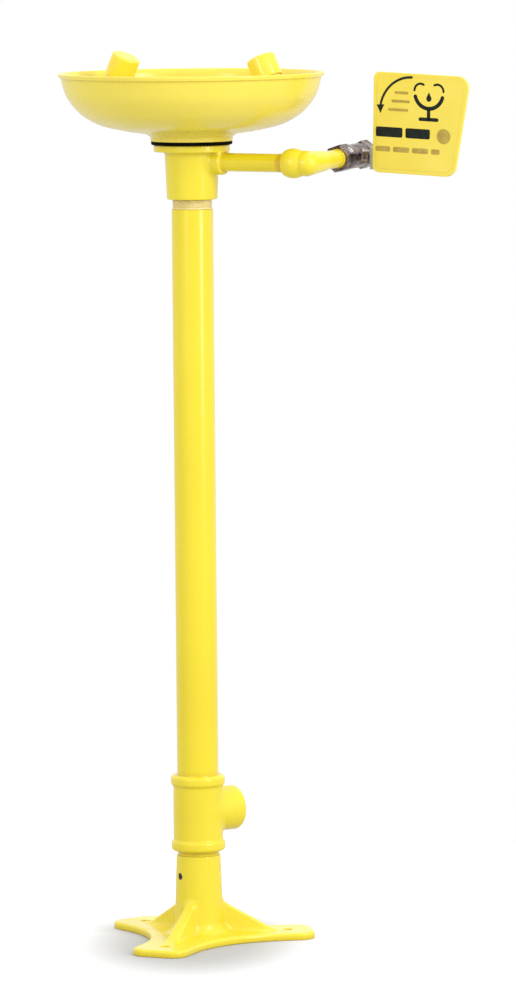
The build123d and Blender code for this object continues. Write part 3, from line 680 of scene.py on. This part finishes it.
BRANCH = turn_z(BRANCH_ANGLE) @ Matrix.Rotation(math.radians(90), 4, "Y")
BRANCH.translation = Vector((0, 0, BRANCH_Z))
outlet_low = BRANCH_REACH - 18.8
outlet_high = BRANCH_REACH - 1.0
outlet = lathe("waste_outlet_thread",
               thread_outline(21.9, 20.9, outlet_low, outlet_high, LARGE_PITCH, False), 96, BRANCH,
               radius_at=thread_radius(20.9, 1.1, LARGE_PITCH, outlet_low, outlet_high))
add(outlet, IRON_COAT)

pipe = lathe("pedestal_pipe_tube", soften([
    (PIPE_BORE_R, TEE_TOP_Z - PIPE_THREAD_LENGTH, 0),
    (PIPE_THREAD_R, TEE_TOP_Z - PIPE_THREAD_LENGTH, 0),
    (PIPE_THREAD_R, TEE_TOP_Z - 0.4, 0),
    (PIPE_R + 0.7, TEE_TOP_Z - 0.4, 0.3),
    (PIPE_R, TEE_TOP_Z + 1.2, 0.6),
    (PIPE_R, THREAD_BOTTOM_Z - 0.6, 0.5),
    (PIPE_THREAD_R - 1.7, THREAD_BOTTOM_Z + 0.9, 0.2),
    (PIPE_BORE_R, THREAD_BOTTOM_Z + 0.9, 0),
]), 128)
add(pipe, PIPE_COAT, replaces="pedestal_pipe")

thread_low = THREAD_BOTTOM_Z + 0.2
thread_high = SUPPORT_BOTTOM_Z + PIPE_THREAD_LENGTH
thread = lathe("pedestal_pipe_thread",
               thread_outline(23.6, PIPE_BORE_R, thread_low, thread_high, LARGE_PITCH, True), 144,
               radius_at=thread_radius(23.6, 1.45, LARGE_PITCH, thread_low, thread_high))
add(thread, THREAD_COAT)


# ---------------------------------------------------------------- support, gasket and bowl

def support_distance(p):
    """Casting under the bowl: tapered body, top flange, side boss and water hub."""
    z = p[:, 2]
    radius = np.hypot(p[:, 0], p[:, 1])
    taper = (31.7 - 29.4) / (FLANGE_BOTTOM_Z - SUPPORT_BOTTOM_Z)
    side = radius - 29.4 - taper * (z - SUPPORT_BOTTOM_Z)
    body = round_max(side, np.maximum(SUPPORT_BOTTOM_Z - z, z - SUPPORT_TOP_Z), 2.0)
    boss = bar(p, (0, 0, SUPPLY_Z), (BOSS_FACE_X, 0, SUPPLY_Z), 15.0, 2.8)
    body = round_min(body, boss, 5.0)
    plate = round_max(radius - 44.3, np.maximum(FLANGE_BOTTOM_Z - z, z - SUPPORT_TOP_Z), 1.3)
    body = round_min(body, plate, 4.0)
    thread_top = SUPPORT_BOTTOM_Z + PIPE_THREAD_LENGTH
    body = cut(body, round_max(radius - 23.9, z - thread_top, 0.3), 0.9)
    body = cut(body, round_max(radius - 25.5, thread_top - z, 0.3), 0.9)
    hub = round_max(radius - 14.0, np.abs(z - HUB_TOP_Z + 14) - 14, 1.5)
    arm = bar(p, (0, 0, SUPPLY_Z), (30.0, 0, SUPPLY_Z), 11.5)
    body = np.minimum(body, round_min(hub, arm, 3.0))
    bore = bar(p, (0, 0, SUPPLY_Z), (BOSS_FACE_X + 9, 0, SUPPLY_Z), WATER_BORE_R)
    socket = bar(p, (BOSS_FACE_X - WATER_THREAD_LENGTH, 0, SUPPLY_Z), (BOSS_FACE_X + 9, 0, SUPPLY_Z),
                 WATER_R + 0.15)
    riser = bar(p, (0, 0, SUPPLY_Z), (0, 0, HUB_TOP_Z + 9), WATER_BORE_R)
    riser_socket = bar(p, (0, 0, HUB_TOP_Z - WATER_THREAD_LENGTH), (0, 0, HUB_TOP_Z + 9), WATER_R + 0.15)
    body = cut(body, np.minimum(np.minimum(bore, socket), np.minimum(riser, riser_socket)), 0.8)
    screw = np.hypot(np.abs(p[:, 0]) - 37 * math.sqrt(0.5), np.abs(p[:, 1]) - 37 * math.sqrt(0.5)) - 2.6
    return cut(body, screw, 0.3)


low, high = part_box("bowl_support")
support = skin("bowl_support_casting", low / MM, high / MM, 1.0, support_distance)
add(support, IRON_COAT, replaces="bowl_support")

gasket = lathe("gasket_ring", soften([
    (30.0, SUPPORT_TOP_Z, 0.3),
    (46.6, SUPPORT_TOP_Z, 0.8),
    (47.7, (SUPPORT_TOP_Z + GASKET_TOP_Z) / 2, 1.6),
    (46.8, GASKET_TOP_Z, 0.8),
    (30.0, GASKET_TOP_Z, 0.3),
]), 160)
add(gasket, RUBBER, replaces="bowl_gasket")

BOWL_WALL = 3.6
OUTER_WALL = ((74.4, 67.8), (103.0, 61.4), (121.9, 52.2), (133.9, 42.2),
              (144.3, 28.4), (149.4, 14.5), (151.4, 5.7))


def smooth_line(points, steps):
    """Catmull-Rom curve through (radius, height) points."""
    pts = [Vector(p) for p in points]
    pts = [2 * pts[0] - pts[1]] + pts + [2 * pts[-1] - pts[-2]]
    line = []
    for i in range(1, len(pts) - 2):
        p0, p1, p2, p3 = pts[i - 1:i + 3]
        for k in range(steps):
            t = k / steps
            line.append(0.5 * (2 * p1 + (p2 - p0) * t + (2 * p0 - 5 * p1 + 4 * p2 - p3) * t * t
                               + (3 * p1 - p0 - 3 * p2 + p3) * t ** 3))
    line.append(pts[-2])
    return line


def inset(line, amount):
    """Line moved towards the bowl's inside."""
    moved = []
    for i, point in enumerate(line):
        run = (line[min(i + 1, len(line) - 1)] - line[max(i - 1, 0)]).normalized()
        moved.append(Vector((point.x - amount * run.y, point.y + amount * run.x)))
    return moved


def bowl_outline():
    """Bowl section: foot, wall, out-turned lip with a rounded edge, sump and drain."""
    wall = smooth_line([(r, RIM_Z - drop) for r, drop in OUTER_WALL], 8)
    inner = [tuple(p) for p in inset(wall, BOWL_WALL)]
    wall = [tuple(p) for p in wall]
    foot = soften([
        (30.0, GASKET_TOP_Z, 0.5),
        (47.7, GASKET_TOP_Z, 0.8),
        (47.9, GASKET_TOP_Z + 5.0, 1.0),
        (53.5, GASKET_TOP_Z + 8.6, 5.0),
        (wall[0][0] - 3, wall[0][1] - 0.55, 0),
    ])[:-1]
    lip = soften([
        (151.4, RIM_Z - 5.7, 0),
        (153.9, RIM_Z - 4.9, 0.8),
        (154.9, RIM_Z, 1.1),
        (150.9, RIM_Z, 1.8),
        (inner[-1][0], inner[-1][1], 0),
    ])[1:-1]
    sump = soften([
        (inner[0][0], inner[0][1], 0),
        (54.0, GASKET_TOP_Z + 12.2, 5.0),
        (43.7, GASKET_TOP_Z + 11.3, 1.6),
        (43.7, GASKET_TOP_Z + 4.0, 1.2),
        (30.0, GASKET_TOP_Z + 4.0, 0.5),
        (30.0, GASKET_TOP_Z, 0),
    ])[1:-1]
    return foot + wall + lip + inner[::-1] + sump


bowl = lathe("bowl_shell", bowl_outline(), 288, sharp=50)
add(bowl, BOWL_GLOSS, replaces="bowl")


# ---------------------------------------------------------------- spray heads and yoke

HEAD_X = {side: head_place(side) for side in (-1, 1)}


def yoke_distance(p):
    """Cross-tube with a hub in the middle and a leaning nipple at each end."""
    ends = {}
    for side in (-1, 1):
        place = HEAD_X[side]
        top = np.array(place.translation)
        out = np.array(place.to_3x3().col[2])
        depth = (top[2] - YOKE_Z) / out[2]
        ends[side] = (top - out * depth, top - out * 30.0)
    body = bar(p, (0, 0, YOKE_Z - 20), (0, 0, YOKE_Z + 12), 15.0, 4.5)
    body = round_min(body, bar(p, ends[-1][0], ends[1][0], 9.5, 1.0), 3.5)
    for side in (-1, 1):
        body = round_min(body, ball(p, ends[side][0], 11.0), 2.0)
        body = round_min(body, bar(p, ends[side][0], ends[side][1], 8.5, 0.5), 2.5)
    return cut(body, bar(p, (0, 0, YOKE_Z - 24), (0, 0, YOKE_Z - 5), 10.8), 0.8)


low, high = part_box("spray_yoke")
yoke = skin("spray_yoke_casting", low / MM, high / MM, 1.2, yoke_distance)
add(yoke, IRON_COAT, replaces="spray_yoke")

HEAD_OUTLINE = [
    (8.5, -40.0, 0), (11.3, -40.0, 0.8), (14.5, -36.0, 1.4), (14.5, -2.3, 0.5), (13.0, -2.3, 0.4),
    (13.0, -8.5, 0), (11.5, -8.5, 0), (11.5, -28.0, 0), (8.5, -28.0, 0)]
CAP_OUTLINE = [
    (0, -2.0, 0), (15.2, -2.0, 0.8), (15.2, -26.6, 0.2), (15.5, -27.0, 0.15), (17.0, -27.0, 0.6),
    (17.0, 0, 3.4), (9.0, 0, 0.6), (8.4, -0.3, 0.5), (0, -0.3, 0)]
HEADS = {"left": -1, "right": 1}
for word, side in HEADS.items():
    head = lathe(f"spray_head_{word}_cup", soften(HEAD_OUTLINE), 96, HEAD_X[side])
    add(head, CAP_GLOSS, replaces=f"spray_head_{word}")
    cap = lathe(f"dust_cap_{word}_shell", soften(CAP_OUTLINE), 128, HEAD_X[side])
    add(cap, CAP_GLOSS, body=f"cap_{word}", replaces=f"dust_cap_{word}")


# ---------------------------------------------------------------- supply pipe, elbow and valve

def water_pipe(name, node, low, high, place):
    """Coated half-inch pipe between two fittings, with a roll of paint where it enters each."""
    tube = lathe(name, soften([
        (WATER_BORE_R, low - WATER_THREAD_LENGTH, 0),
        (WATER_THREAD_R, low - WATER_THREAD_LENGTH, 0),
        (WATER_THREAD_R, low - 0.4, 0),
        (WATER_R + 0.9, low - 0.4, 0.3),
        (WATER_R, low + 1.3, 0.8),
        (WATER_R, high - 1.3, 0.8),
        (WATER_R + 0.9, high + 0.4, 0.3),
        (WATER_THREAD_R, high + 0.4, 0),
        (WATER_THREAD_R, high + WATER_THREAD_LENGTH, 0),
        (WATER_BORE_R, high + WATER_THREAD_LENGTH, 0),
    ]), 96, place)
    return add(tube, PIPE_COAT, replaces=node)


ALONG_X = Matrix.Rotation(math.radians(90), 4, "Y")
ALONG_X.translation = Vector((0, 0, SUPPLY_Z))
ALONG_BORE = VALVE @ Matrix.Rotation(math.radians(-90), 4, "X")
water_pipe("supply_nipple_pipe", "supply_nipple", BOSS_FACE_X, ELBOW_X - ELBOW_REACH, ALONG_X)
water_pipe("valve_nipple_pipe", "valve_nipple", ELBOW_OUTLET_Y, VALVE_NEAR_Y, ALONG_BORE)

# darker sleeve on the supply nipple just before the elbow: painted shadow cast by the elbow's band on the nipple
SHADOW_SLEEVE_LENGTH = 8.5
shadow_sleeve_low = ELBOW_X - ELBOW_REACH - SHADOW_SLEEVE_LENGTH
shadow_sleeve = lathe("supply_nipple_shadow_sleeve", soften([
    (WATER_R - 0.5, shadow_sleeve_low, 0),
    (WATER_R + 0.1, shadow_sleeve_low, 0.1),
    (WATER_R + 0.25, shadow_sleeve_low + SHADOW_SLEEVE_LENGTH / 2, 1.0),
    (WATER_R + 0.15, shadow_sleeve_low + SHADOW_SLEEVE_LENGTH, 0.1),
    (WATER_R - 0.5, shadow_sleeve_low + SHADOW_SLEEVE_LENGTH, 0),
]), 96, ALONG_X)
add(shadow_sleeve, SHADOW_SLEEVE_COAT)


def elbow_distance(p):
    """Right-angle fitting with a bulging band at its inlet and a tapered outlet."""
    reach = ELBOW_REACH
    outlet = ELBOW_OUTLET_Y
    across = np.hypot(p[:, 0], p[:, 2])
    cone = across - ELBOW_R + ELBOW_TAPER * np.maximum(p[:, 1] - 6, 0)
    out = round_max(cone, np.abs(p[:, 1] - outlet / 2) - outlet / 2, 1.0)
    inlet = bar(p, (0, 0, 0), (-reach + 1, 0, 0), ELBOW_INLET_R, 1.0)
    body = round_min(round_min(out, inlet, 4.0), ball(p, (0, 0, 0), ELBOW_R), 1.5)
    band_end = (-reach + ELBOW_BAND_LENGTH, 0, 0)
    band = bar(p, (-reach, 0, 0), band_end, ELBOW_BAND_R, ELBOW_BAND_ROUND)
    body = round_min(body, band, 7.0)
    inlet_socket = bar(p, (-reach - 9, 0, 0), (-reach + WATER_THREAD_LENGTH, 0, 0), WATER_R + 0.1)
    out_socket = bar(p, (0, outlet + 9, 0), (0, outlet - WATER_THREAD_LENGTH, 0), WATER_R + 0.1)
    bore = np.minimum(
        bar(p, (-reach, 0, 0), (0, 0, 0), WATER_BORE_R, 0.1),
        bar(p, (0, 0, 0), (0, outlet, 0), WATER_BORE_R, 0.1))
    return cut(body, np.minimum(np.minimum(inlet_socket, out_socket), bore), 0.6)


elbow = skin("supply_elbow_casting", (-29, -17, -17), (17, 39, 17), 0.7, elbow_distance, ELBOW)
add(elbow, IRON_COAT, replaces="supply_elbow")


def valve_distance(p):
    """Forged valve body: hexagon, round chamber and a boss for the stem."""
    near = VALVE_NEAR_Y
    mouth = VALVE_MOUTH_Y
    body = hex_bar(p, near, near + HEX_LENGTH, HEX_FLATS, 0.7, HEX_TURN)
    chamber = bar(p, (0, near + HEX_LENGTH - 3, 0), (0, mouth, 0), CHAMBER_R, 1.0)
    body = round_min(body, chamber, 1.8)
    body = round_min(body, bar(p, (0, STEM_Y, 0), (STEM_BOSS_X, STEM_Y, 0), STEM_BOSS_R, 0.7), 2.4)
    socket = bar(p, (0, near - 9, 0), (0, near + WATER_THREAD_LENGTH, 0), WATER_R + 0.1)
    port = bar(p, (0, near, 0), (0, STEM_Y, 0), PORT_R)
    seat = bar(p, (0, STEM_Y - 11.0, 0), (0, mouth + 9, 0), BALL_ROOM_R)
    neck = bar(p, (5, STEM_Y, 0), (COLLAR_ROOM_X, STEM_Y, 0), COLLAR_R)
    stem = bar(p, (5, STEM_Y, 0), (30, STEM_Y, 0), STEM_R)
    gland = bar(p, (GLAND_X, STEM_Y, 0), (30, STEM_Y, 0), GLAND_R)
    holes = np.minimum(np.minimum(np.minimum(socket, port), seat), np.minimum(np.minimum(neck, stem), gland))
    return cut(body, holes, 0.6)


body = skin("valve_body_forging", (-19, VALVE_NEAR_Y, -19), (23, VALVE_MOUTH_Y, 19), 0.5, valve_distance, VALVE)
add(body, NICKEL, replaces="valve_body")


PLUG = VALVE @ Matrix.Rotation(math.radians(90 - PLUG_TURN), 4, "Y")
PLUG.translation = VALVE @ Vector((0, PLUG_Y, 0))
plug = lathe("valve_body_plug", soften([
    (1.3, HEX_FLATS / 2 - 2, 0),
    (4.0, HEX_FLATS / 2 - 2, 0),
    (4.0, HEX_FLATS / 2 + 1.5, 0.7),
    (2.0, HEX_FLATS / 2 + 1.5, 0.3),
    (1.3, HEX_FLATS / 2 + 0.6, 0.2),
]), 64, PLUG)
add(plug, STAINLESS)
socket_floor = lathe("valve_body_plug_socket", [
    (0, HEX_FLATS / 2 - 1.6),
    (1.35, HEX_FLATS / 2 - 1.6),
    (1.35, HEX_FLATS / 2 - 0.6),
    (0, HEX_FLATS / 2 - 0.6),
], 48, PLUG)
add(socket_floor, BLACK_STEEL)


def end_cap_distance(p):
    """Screwed hexagonal end of the valve."""
    mouth = VALVE_MOUTH_Y
    cap = hex_bar(p, mouth, VALVE_FAR_Y, 29.0, 0.6, 30.0)
    cap = np.minimum(cap, bar(p, (0, mouth - 3, 0), (0, mouth + 2, 0), 11.1))
    hole = bar(p, (0, mouth - 9, 0), (0, VALVE_FAR_Y, 0), PORT_R)
    socket = bar(p, (0, VALVE_FAR_Y - WATER_THREAD_LENGTH, 0), (0, VALVE_FAR_Y + 9, 0), 11.0)
    return cut(cap, np.minimum(hole, socket), 0.7)


end_cap = skin("valve_end_cap_turning", (-17, STEM_Y + 11, -17), (17, VALVE_FAR_Y, 17), 0.5,
               end_cap_distance, VALVE)
add(end_cap, NICKEL, replaces="valve_end_cap")

inlet_low = VALVE_FAR_Y - WATER_THREAD_LENGTH + 0.1
inlet_high = VALVE_FAR_Y - 0.8
inlet = lathe("supply_inlet_thread",
              thread_outline(11.3, 10.5, inlet_low, inlet_high, SMALL_PITCH, False), 72,
              ALONG_BORE, radius_at=thread_radius(10.5, 0.9, SMALL_PITCH, inlet_low, inlet_high))
add(inlet, NICKEL)


# ---------------------------------------------------------------- print on the flag

def flag_point(x, z, lift):
    """Point on the flag's printed face, in millimetres in the valve's frame."""
    return Vector((x + PRINT_SHIFT, LABEL_FACE_Y - lift, z + PRINT_RISE))


PRINT_HEIGHT = 0.12
PRINT_SHIFT = 2.8
PRINT_RISE = 2.0
PICTOGRAM = (103, 78.5)


def printed(name, outline, material):
    """Thin raised print from a closed outline of (x, z) points, anticlockwise seen from the front."""
    count = len(outline)
    vertices = [flag_point(x, z, lift) for lift in (-0.05, PRINT_HEIGHT) for x, z in outline]
    faces = [tuple(range(count - 1, -1, -1)), tuple(range(count, 2 * count))]
    for i in range(count):
        j = (i + 1) % count
        faces.append((i, j, count + j, count + i))
    piece = finish_mesh(name, [tuple(v) for v in vertices], faces, VALVE, 30)
    return add(piece, material, body="flag_handle")


def stroke(line, width):
    """Outline of a band of a width along a line, with round ends."""
    left = []
    right = []
    pts = [Vector(p) for p in line]
    for i, point in enumerate(pts):
        run = (pts[min(i + 1, len(pts) - 1)] - pts[max(i - 1, 0)]).normalized()
        side = Vector((-run.y, run.x)) * width / 2
        left.append(tuple(point + side))
        right.append(tuple(point - side))
    caps = []
    for end, run in ((pts[-1], (pts[-1] - pts[-2]).normalized()), (pts[0], (pts[0] - pts[1]).normalized())):
        side = Vector((run.y, -run.x)) * width / 2
        arc = []
        for k in range(1, 8):
            a = math.pi * k / 8
            arc.append(tuple(end + side * math.cos(a) + run * (width / 2) * math.sin(a)))
        caps.append(arc)
    return right + caps[0] + left[::-1] + caps[1]


def arc_points(centre, radius, start, end, count):
    """Points of an arc, angles in degrees anticlockwise from +X."""
    angles = [math.radians(start + (end - start) * k / count) for k in range(count + 1)]
    return [(centre[0] + radius * math.cos(a), centre[1] + radius * math.sin(a)) for a in angles]


def box_points(x0, x1, z0, z1, corner):
    """Rounded rectangle, anticlockwise."""
    points = []
    for cx, cz, start in ((x1 - corner, z0 + corner, -90), (x1 - corner, z1 - corner, 0),
                          (x0 + corner, z1 - corner, 90), (x0 + corner, z0 + corner, 180)):
        points += arc_points((cx, cz), corner, start, start + 90, 5)
    return points


def add_pictogram():
    """Generic instructions: a curved push arrow, a bowl with two jets, and plain bars for the words."""
    printed("print_arrow_shaft", stroke(arc_points((80, 54), 41.0, 90, 168, 20), 2.8), INK)
    tip = (80 + 41 * math.cos(math.radians(175)), 54 + 41 * math.sin(math.radians(175)))
    printed("print_arrow_head", [(tip[0] + 0.4, tip[1] - 6.0), (tip[0] + 5.4, tip[1] + 4.4),
                                 (tip[0] - 4.6, tip[1] + 3.8)], INK)
    x, z = PICTOGRAM
    printed("print_bowl", stroke(arc_points((x, z), 18.5, 196, 344, 20), 4.6), INK)
    printed("print_stand", stroke([(x, z - 20), (x, z - 25), (x, z - 30)], 4.4), INK)
    printed("print_foot", stroke([(x - 11, z - 31), (x, z - 31), (x + 11, z - 31)], 4.2), INK)
    for word, sign in (("left", -1), ("right", 1)):
        jet = arc_points((x + sign * 11, z + 2), 8.0, 90 - sign * 90, 90 + sign * 30, 10)
        printed(f"print_jet_{word}", stroke(jet, 2.6), INK)
    printed("print_drop", [(x, z + 0.5), *arc_points((x, z - 7.0), 3.4, 150, 390, 12)[::-1]][::-1], INK)
    for index, (x0, x1) in enumerate(((34, 69), (73, 105))):
        printed(f"print_bar_bold_{index + 1}", box_points(x0, x1, 24.5, 36, 2.0), INK)
    for index, (x0, x1) in enumerate(((34, 53), (57, 78), (82, 103), (107, 118))):
        printed(f"print_bar_thin_{index + 1}", box_points(x0, x1, 7.5, 13.5, 1.6), FAINT_INK)
    for index, (x0, x1, z0) in enumerate(((58, 76, 75), (54, 78, 65), (50, 76, 55))):
        printed(f"print_line_{index + 1}", box_points(x0, x1, z0, z0 + 3.2, 1.2), FAINT_INK)
    printed("print_disc", arc_points((123, 29), 8.8, 0, 351, 39), FAINT_INK)


add_pictogram()


# ---------------------------------------------------------------- CAD pieces that stay

CAD_LOOKS = {
    "set_screws": (BLACK_STEEL, 0.1),
    "base_stub": (PIPE_COAT, 0),
    "bowl_screws": (STAINLESS, 0.15),
    "drain_strainer": (STAINLESS, 0.2),
    "riser_tube": (PIPE_COAT, 0.2),
    "flow_control": (FACE_PLASTIC, 0.2),
    "spray_face_left": (FACE_PLASTIC, 0.15),
    "spray_face_right": (FACE_PLASTIC, 0.15),
    "ball_seats": (SEAL, 0.1),
    "valve_ball": (CHROME, 0.15),
    "valve_stem": (CHROME, 0.2),
    "stem_packing": (SEAL, 0.1),
    "packing_nut": (NICKEL, 0.4),
    "flag_bracket": (STRAP, 0.4),
    "stem_washer": (STAINLESS, 0.15),
    "stem_nut": (STAINLESS, 0.35),
    "flag": (FLAG_SATIN, 0),
    "flag_label": (LABEL_FILM, 0),
    "flag_screws": (STAINLESS, 0.15),
}
for node, (material, edge) in CAD_LOOKS.items():
    dress(NODES[node], material)
    if edge:
        bevel = NODES[node].modifiers.new("edges", "BEVEL")
        bevel.width = edge * MM
        bevel.segments = 3
        bevel.limit_method = "ANGLE"
        bevel.angle_limit = math.radians(35)
        bevel.use_clamp_overlap = True


# ---------------------------------------------------------------- camera

VIEW_TURN = math.radians(30.0)
CAMERA_DISTANCE = 7.297
CAMERA_HEIGHT = 1.260
CAMERA_RIGHT = 0.0734
CAMERA_PITCH = math.radians(5.838)
CAMERA_ROLL = math.radians(0.5)
LONG_SIDE_PIXELS = 1008
FOCAL_PIXELS = 6274
SENSOR = 36.0
RIGHT = Vector((math.cos(VIEW_TURN), math.sin(VIEW_TURN), 0))
AWAY = Vector((-math.sin(VIEW_TURN), math.cos(VIEW_TURN), 0))
UP = Vector((0, 0, 1))


def make_camera():
    """Camera far from the object and a little above the bowl."""
    data = bpy.data.cameras.new("camera")
    data.sensor_fit = "AUTO"
    data.sensor_width = SENSOR
    data.lens = SENSOR * FOCAL_PIXELS / LONG_SIDE_PIXELS
    data.clip_end = 100
    camera = bpy.data.objects.new("camera", data)
    bpy.context.scene.collection.objects.link(camera)
    camera.location = -AWAY * CAMERA_DISTANCE + RIGHT * CAMERA_RIGHT + UP * CAMERA_HEIGHT
    aim = AWAY * math.cos(CAMERA_PITCH) - UP * math.sin(CAMERA_PITCH)
    up = Matrix.Rotation(CAMERA_ROLL, 3, aim) @ UP
    z_axis = -aim
    x_axis = up.cross(z_axis).normalized()
    y_axis = z_axis.cross(x_axis)
    camera.rotation_mode = "QUATERNION"
    camera.rotation_quaternion = Matrix((x_axis, y_axis, z_axis)).transposed().to_quaternion()
    bpy.context.scene.camera = camera


make_camera()


# ---------------------------------------------------------------- studio

FLOOR_RADIUS = 0.8
FLOOR_ALBEDO = 0.46
# ellipse of the painted shadow: inside it the floor's painted glow fades out and the real shade shows
SHADE_CENTRE = -RIGHT * 0.006 - AWAY * 0.028
SHADE_REACH = (0.15, 0.255, 1.0)
SHADE_FROM = 0.38
SHADE_TO = 1.15
CLEAR_GLOW = 0.5


def make_floor():
    """White floor with a painted glow, seen only by the camera, that fades in outside an ellipse round the object:
    the soft shadow close round the object is real shade whose reach is set by this painted glow, and the floor is
    plain white further out.
    """
    mesh = bpy.data.meshes.new("studio_floor")
    ring = [(FLOOR_RADIUS * math.cos(a), FLOOR_RADIUS * math.sin(a), 0) for a in np.arange(64) * math.pi / 32]
    mesh.from_pydata(ring, [], [tuple(range(len(ring)))])
    floor = bpy.data.objects.new("studio_floor", mesh)
    floor.location.z = -0.0002
    bpy.context.scene.collection.objects.link(floor)
    material, tree, shader = nodes_of("floor_white")
    shader.inputs["Base Color"].default_value = (FLOOR_ALBEDO, FLOOR_ALBEDO, FLOOR_ALBEDO, 1)
    shader.inputs["Roughness"].default_value = 0.9
    shader.inputs["Specular IOR Level"].default_value = 0.1
    place = tree.nodes.new("ShaderNodeTexCoord")
    ellipse = tree.nodes.new("ShaderNodeMapping")
    ellipse.vector_type = "TEXTURE"
    ellipse.inputs["Location"].default_value = SHADE_CENTRE
    ellipse.inputs["Rotation"].default_value = (0, 0, VIEW_TURN)
    ellipse.inputs["Scale"].default_value = SHADE_REACH
    length = tree.nodes.new("ShaderNodeVectorMath")
    length.operation = "LENGTH"
    fade = tree.nodes.new("ShaderNodeMapRange")
    fade.interpolation_type = "SMOOTHSTEP"
    fade.inputs["From Min"].default_value = SHADE_FROM
    fade.inputs["From Max"].default_value = SHADE_TO
    fade.inputs["To Max"].default_value = CLEAR_GLOW
    path = tree.nodes.new("ShaderNodeLightPath")
    seen = tree.nodes.new("ShaderNodeMath")
    seen.operation = "MULTIPLY"
    tree.links.new(place.outputs["Object"], ellipse.inputs["Vector"])
    tree.links.new(ellipse.outputs["Vector"], length.inputs[0])
    tree.links.new(length.outputs["Value"], fade.inputs["Value"])
    tree.links.new(fade.outputs["Result"], seen.inputs[0])
    tree.links.new(path.outputs["Is Camera Ray"], seen.inputs[1])
    tree.links.new(seen.outputs["Value"], shader.inputs["Emission Strength"])
    shader.inputs["Emission Color"].default_value = (1, 1, 1, 1)
    dress(floor, material)


def area_light(name, aim_at, bearing, distance, height, width, tall, radiance):
    """Soft box at a bearing right of the camera, aimed at a height on the pedestal axis."""
    data = bpy.data.lights.new(name, "AREA")
    data.shape = "RECTANGLE"
    data.size = width
    data.size_y = tall
    data.energy = math.pi * radiance * width * tall
    light = bpy.data.objects.new(name, data)
    bpy.context.scene.collection.objects.link(light)
    angle = math.radians(bearing)
    spot = (-AWAY * math.cos(angle) + RIGHT * math.sin(angle)) * distance
    light.location = spot + UP * height
    light.rotation_mode = "QUATERNION"
    light.rotation_quaternion = (UP * aim_at - light.location).to_track_quat("-Z", "Y")


# light from straight up, from the horizon and from below
SKY_LIGHT = 1.06
SIDE_LIGHT = 1.11
GROUND_LIGHT = 0.84


def make_surround():
    """White backdrop. It lights the object most from above and least from below."""
    world = bpy.data.worlds.new("studio")
    bpy.context.scene.world = world
    world.use_nodes = True
    tree = world.node_tree
    place = tree.nodes.new("ShaderNodeTexCoord")
    split = tree.nodes.new("ShaderNodeSeparateXYZ")
    tree.links.new(place.outputs["Generated"], split.inputs["Vector"])
    level = ramp(tree, split.outputs["Z"], [(0.0, (SIDE_LIGHT,) * 3), (1.0, (SKY_LIGHT,) * 3)])
    below = tree.nodes.new("ShaderNodeMath")
    below.operation = "LESS_THAN"
    below.inputs[1].default_value = 0.0
    tree.links.new(split.outputs["Z"], below.inputs[0])
    lit = tree.nodes.new("ShaderNodeMix")
    lit.data_type = "RGBA"
    lit.inputs["B"].default_value = (GROUND_LIGHT, GROUND_LIGHT, GROUND_LIGHT, 1)
    tree.links.new(below.outputs["Value"], lit.inputs["Factor"])
    tree.links.new(level, lit.inputs["A"])
    path = tree.nodes.new("ShaderNodeLightPath")
    seen = tree.nodes.new("ShaderNodeMix")
    seen.data_type = "RGBA"
    seen.inputs["B"].default_value = (1, 1, 1, 1)
    tree.links.new(path.outputs["Is Camera Ray"], seen.inputs["Factor"])
    tree.links.new(lit.outputs["Result"], seen.inputs["A"])
    background = tree.nodes["Background"]
    tree.links.new(seen.outputs["Result"], background.inputs["Color"])


def make_studio():
    """A tall strip box on the right, a smaller box high on the left and a wide box overhead."""
    make_surround()
    area_light("strip_box", 0.9, 50.0, 3.0, 1.78, 0.4, 2.3, 18.0)
    area_light("left_box", 0.9, -35.0, 3.0, 1.6, 0.5, 1.1, 8.5)
    area_light("top_box", 0.9, 160.0, 0.9, 3.2, 1.4, 1.4, 3.6)
    bpy.context.scene.view_settings.view_transform = "Standard"


make_floor()
make_studio()
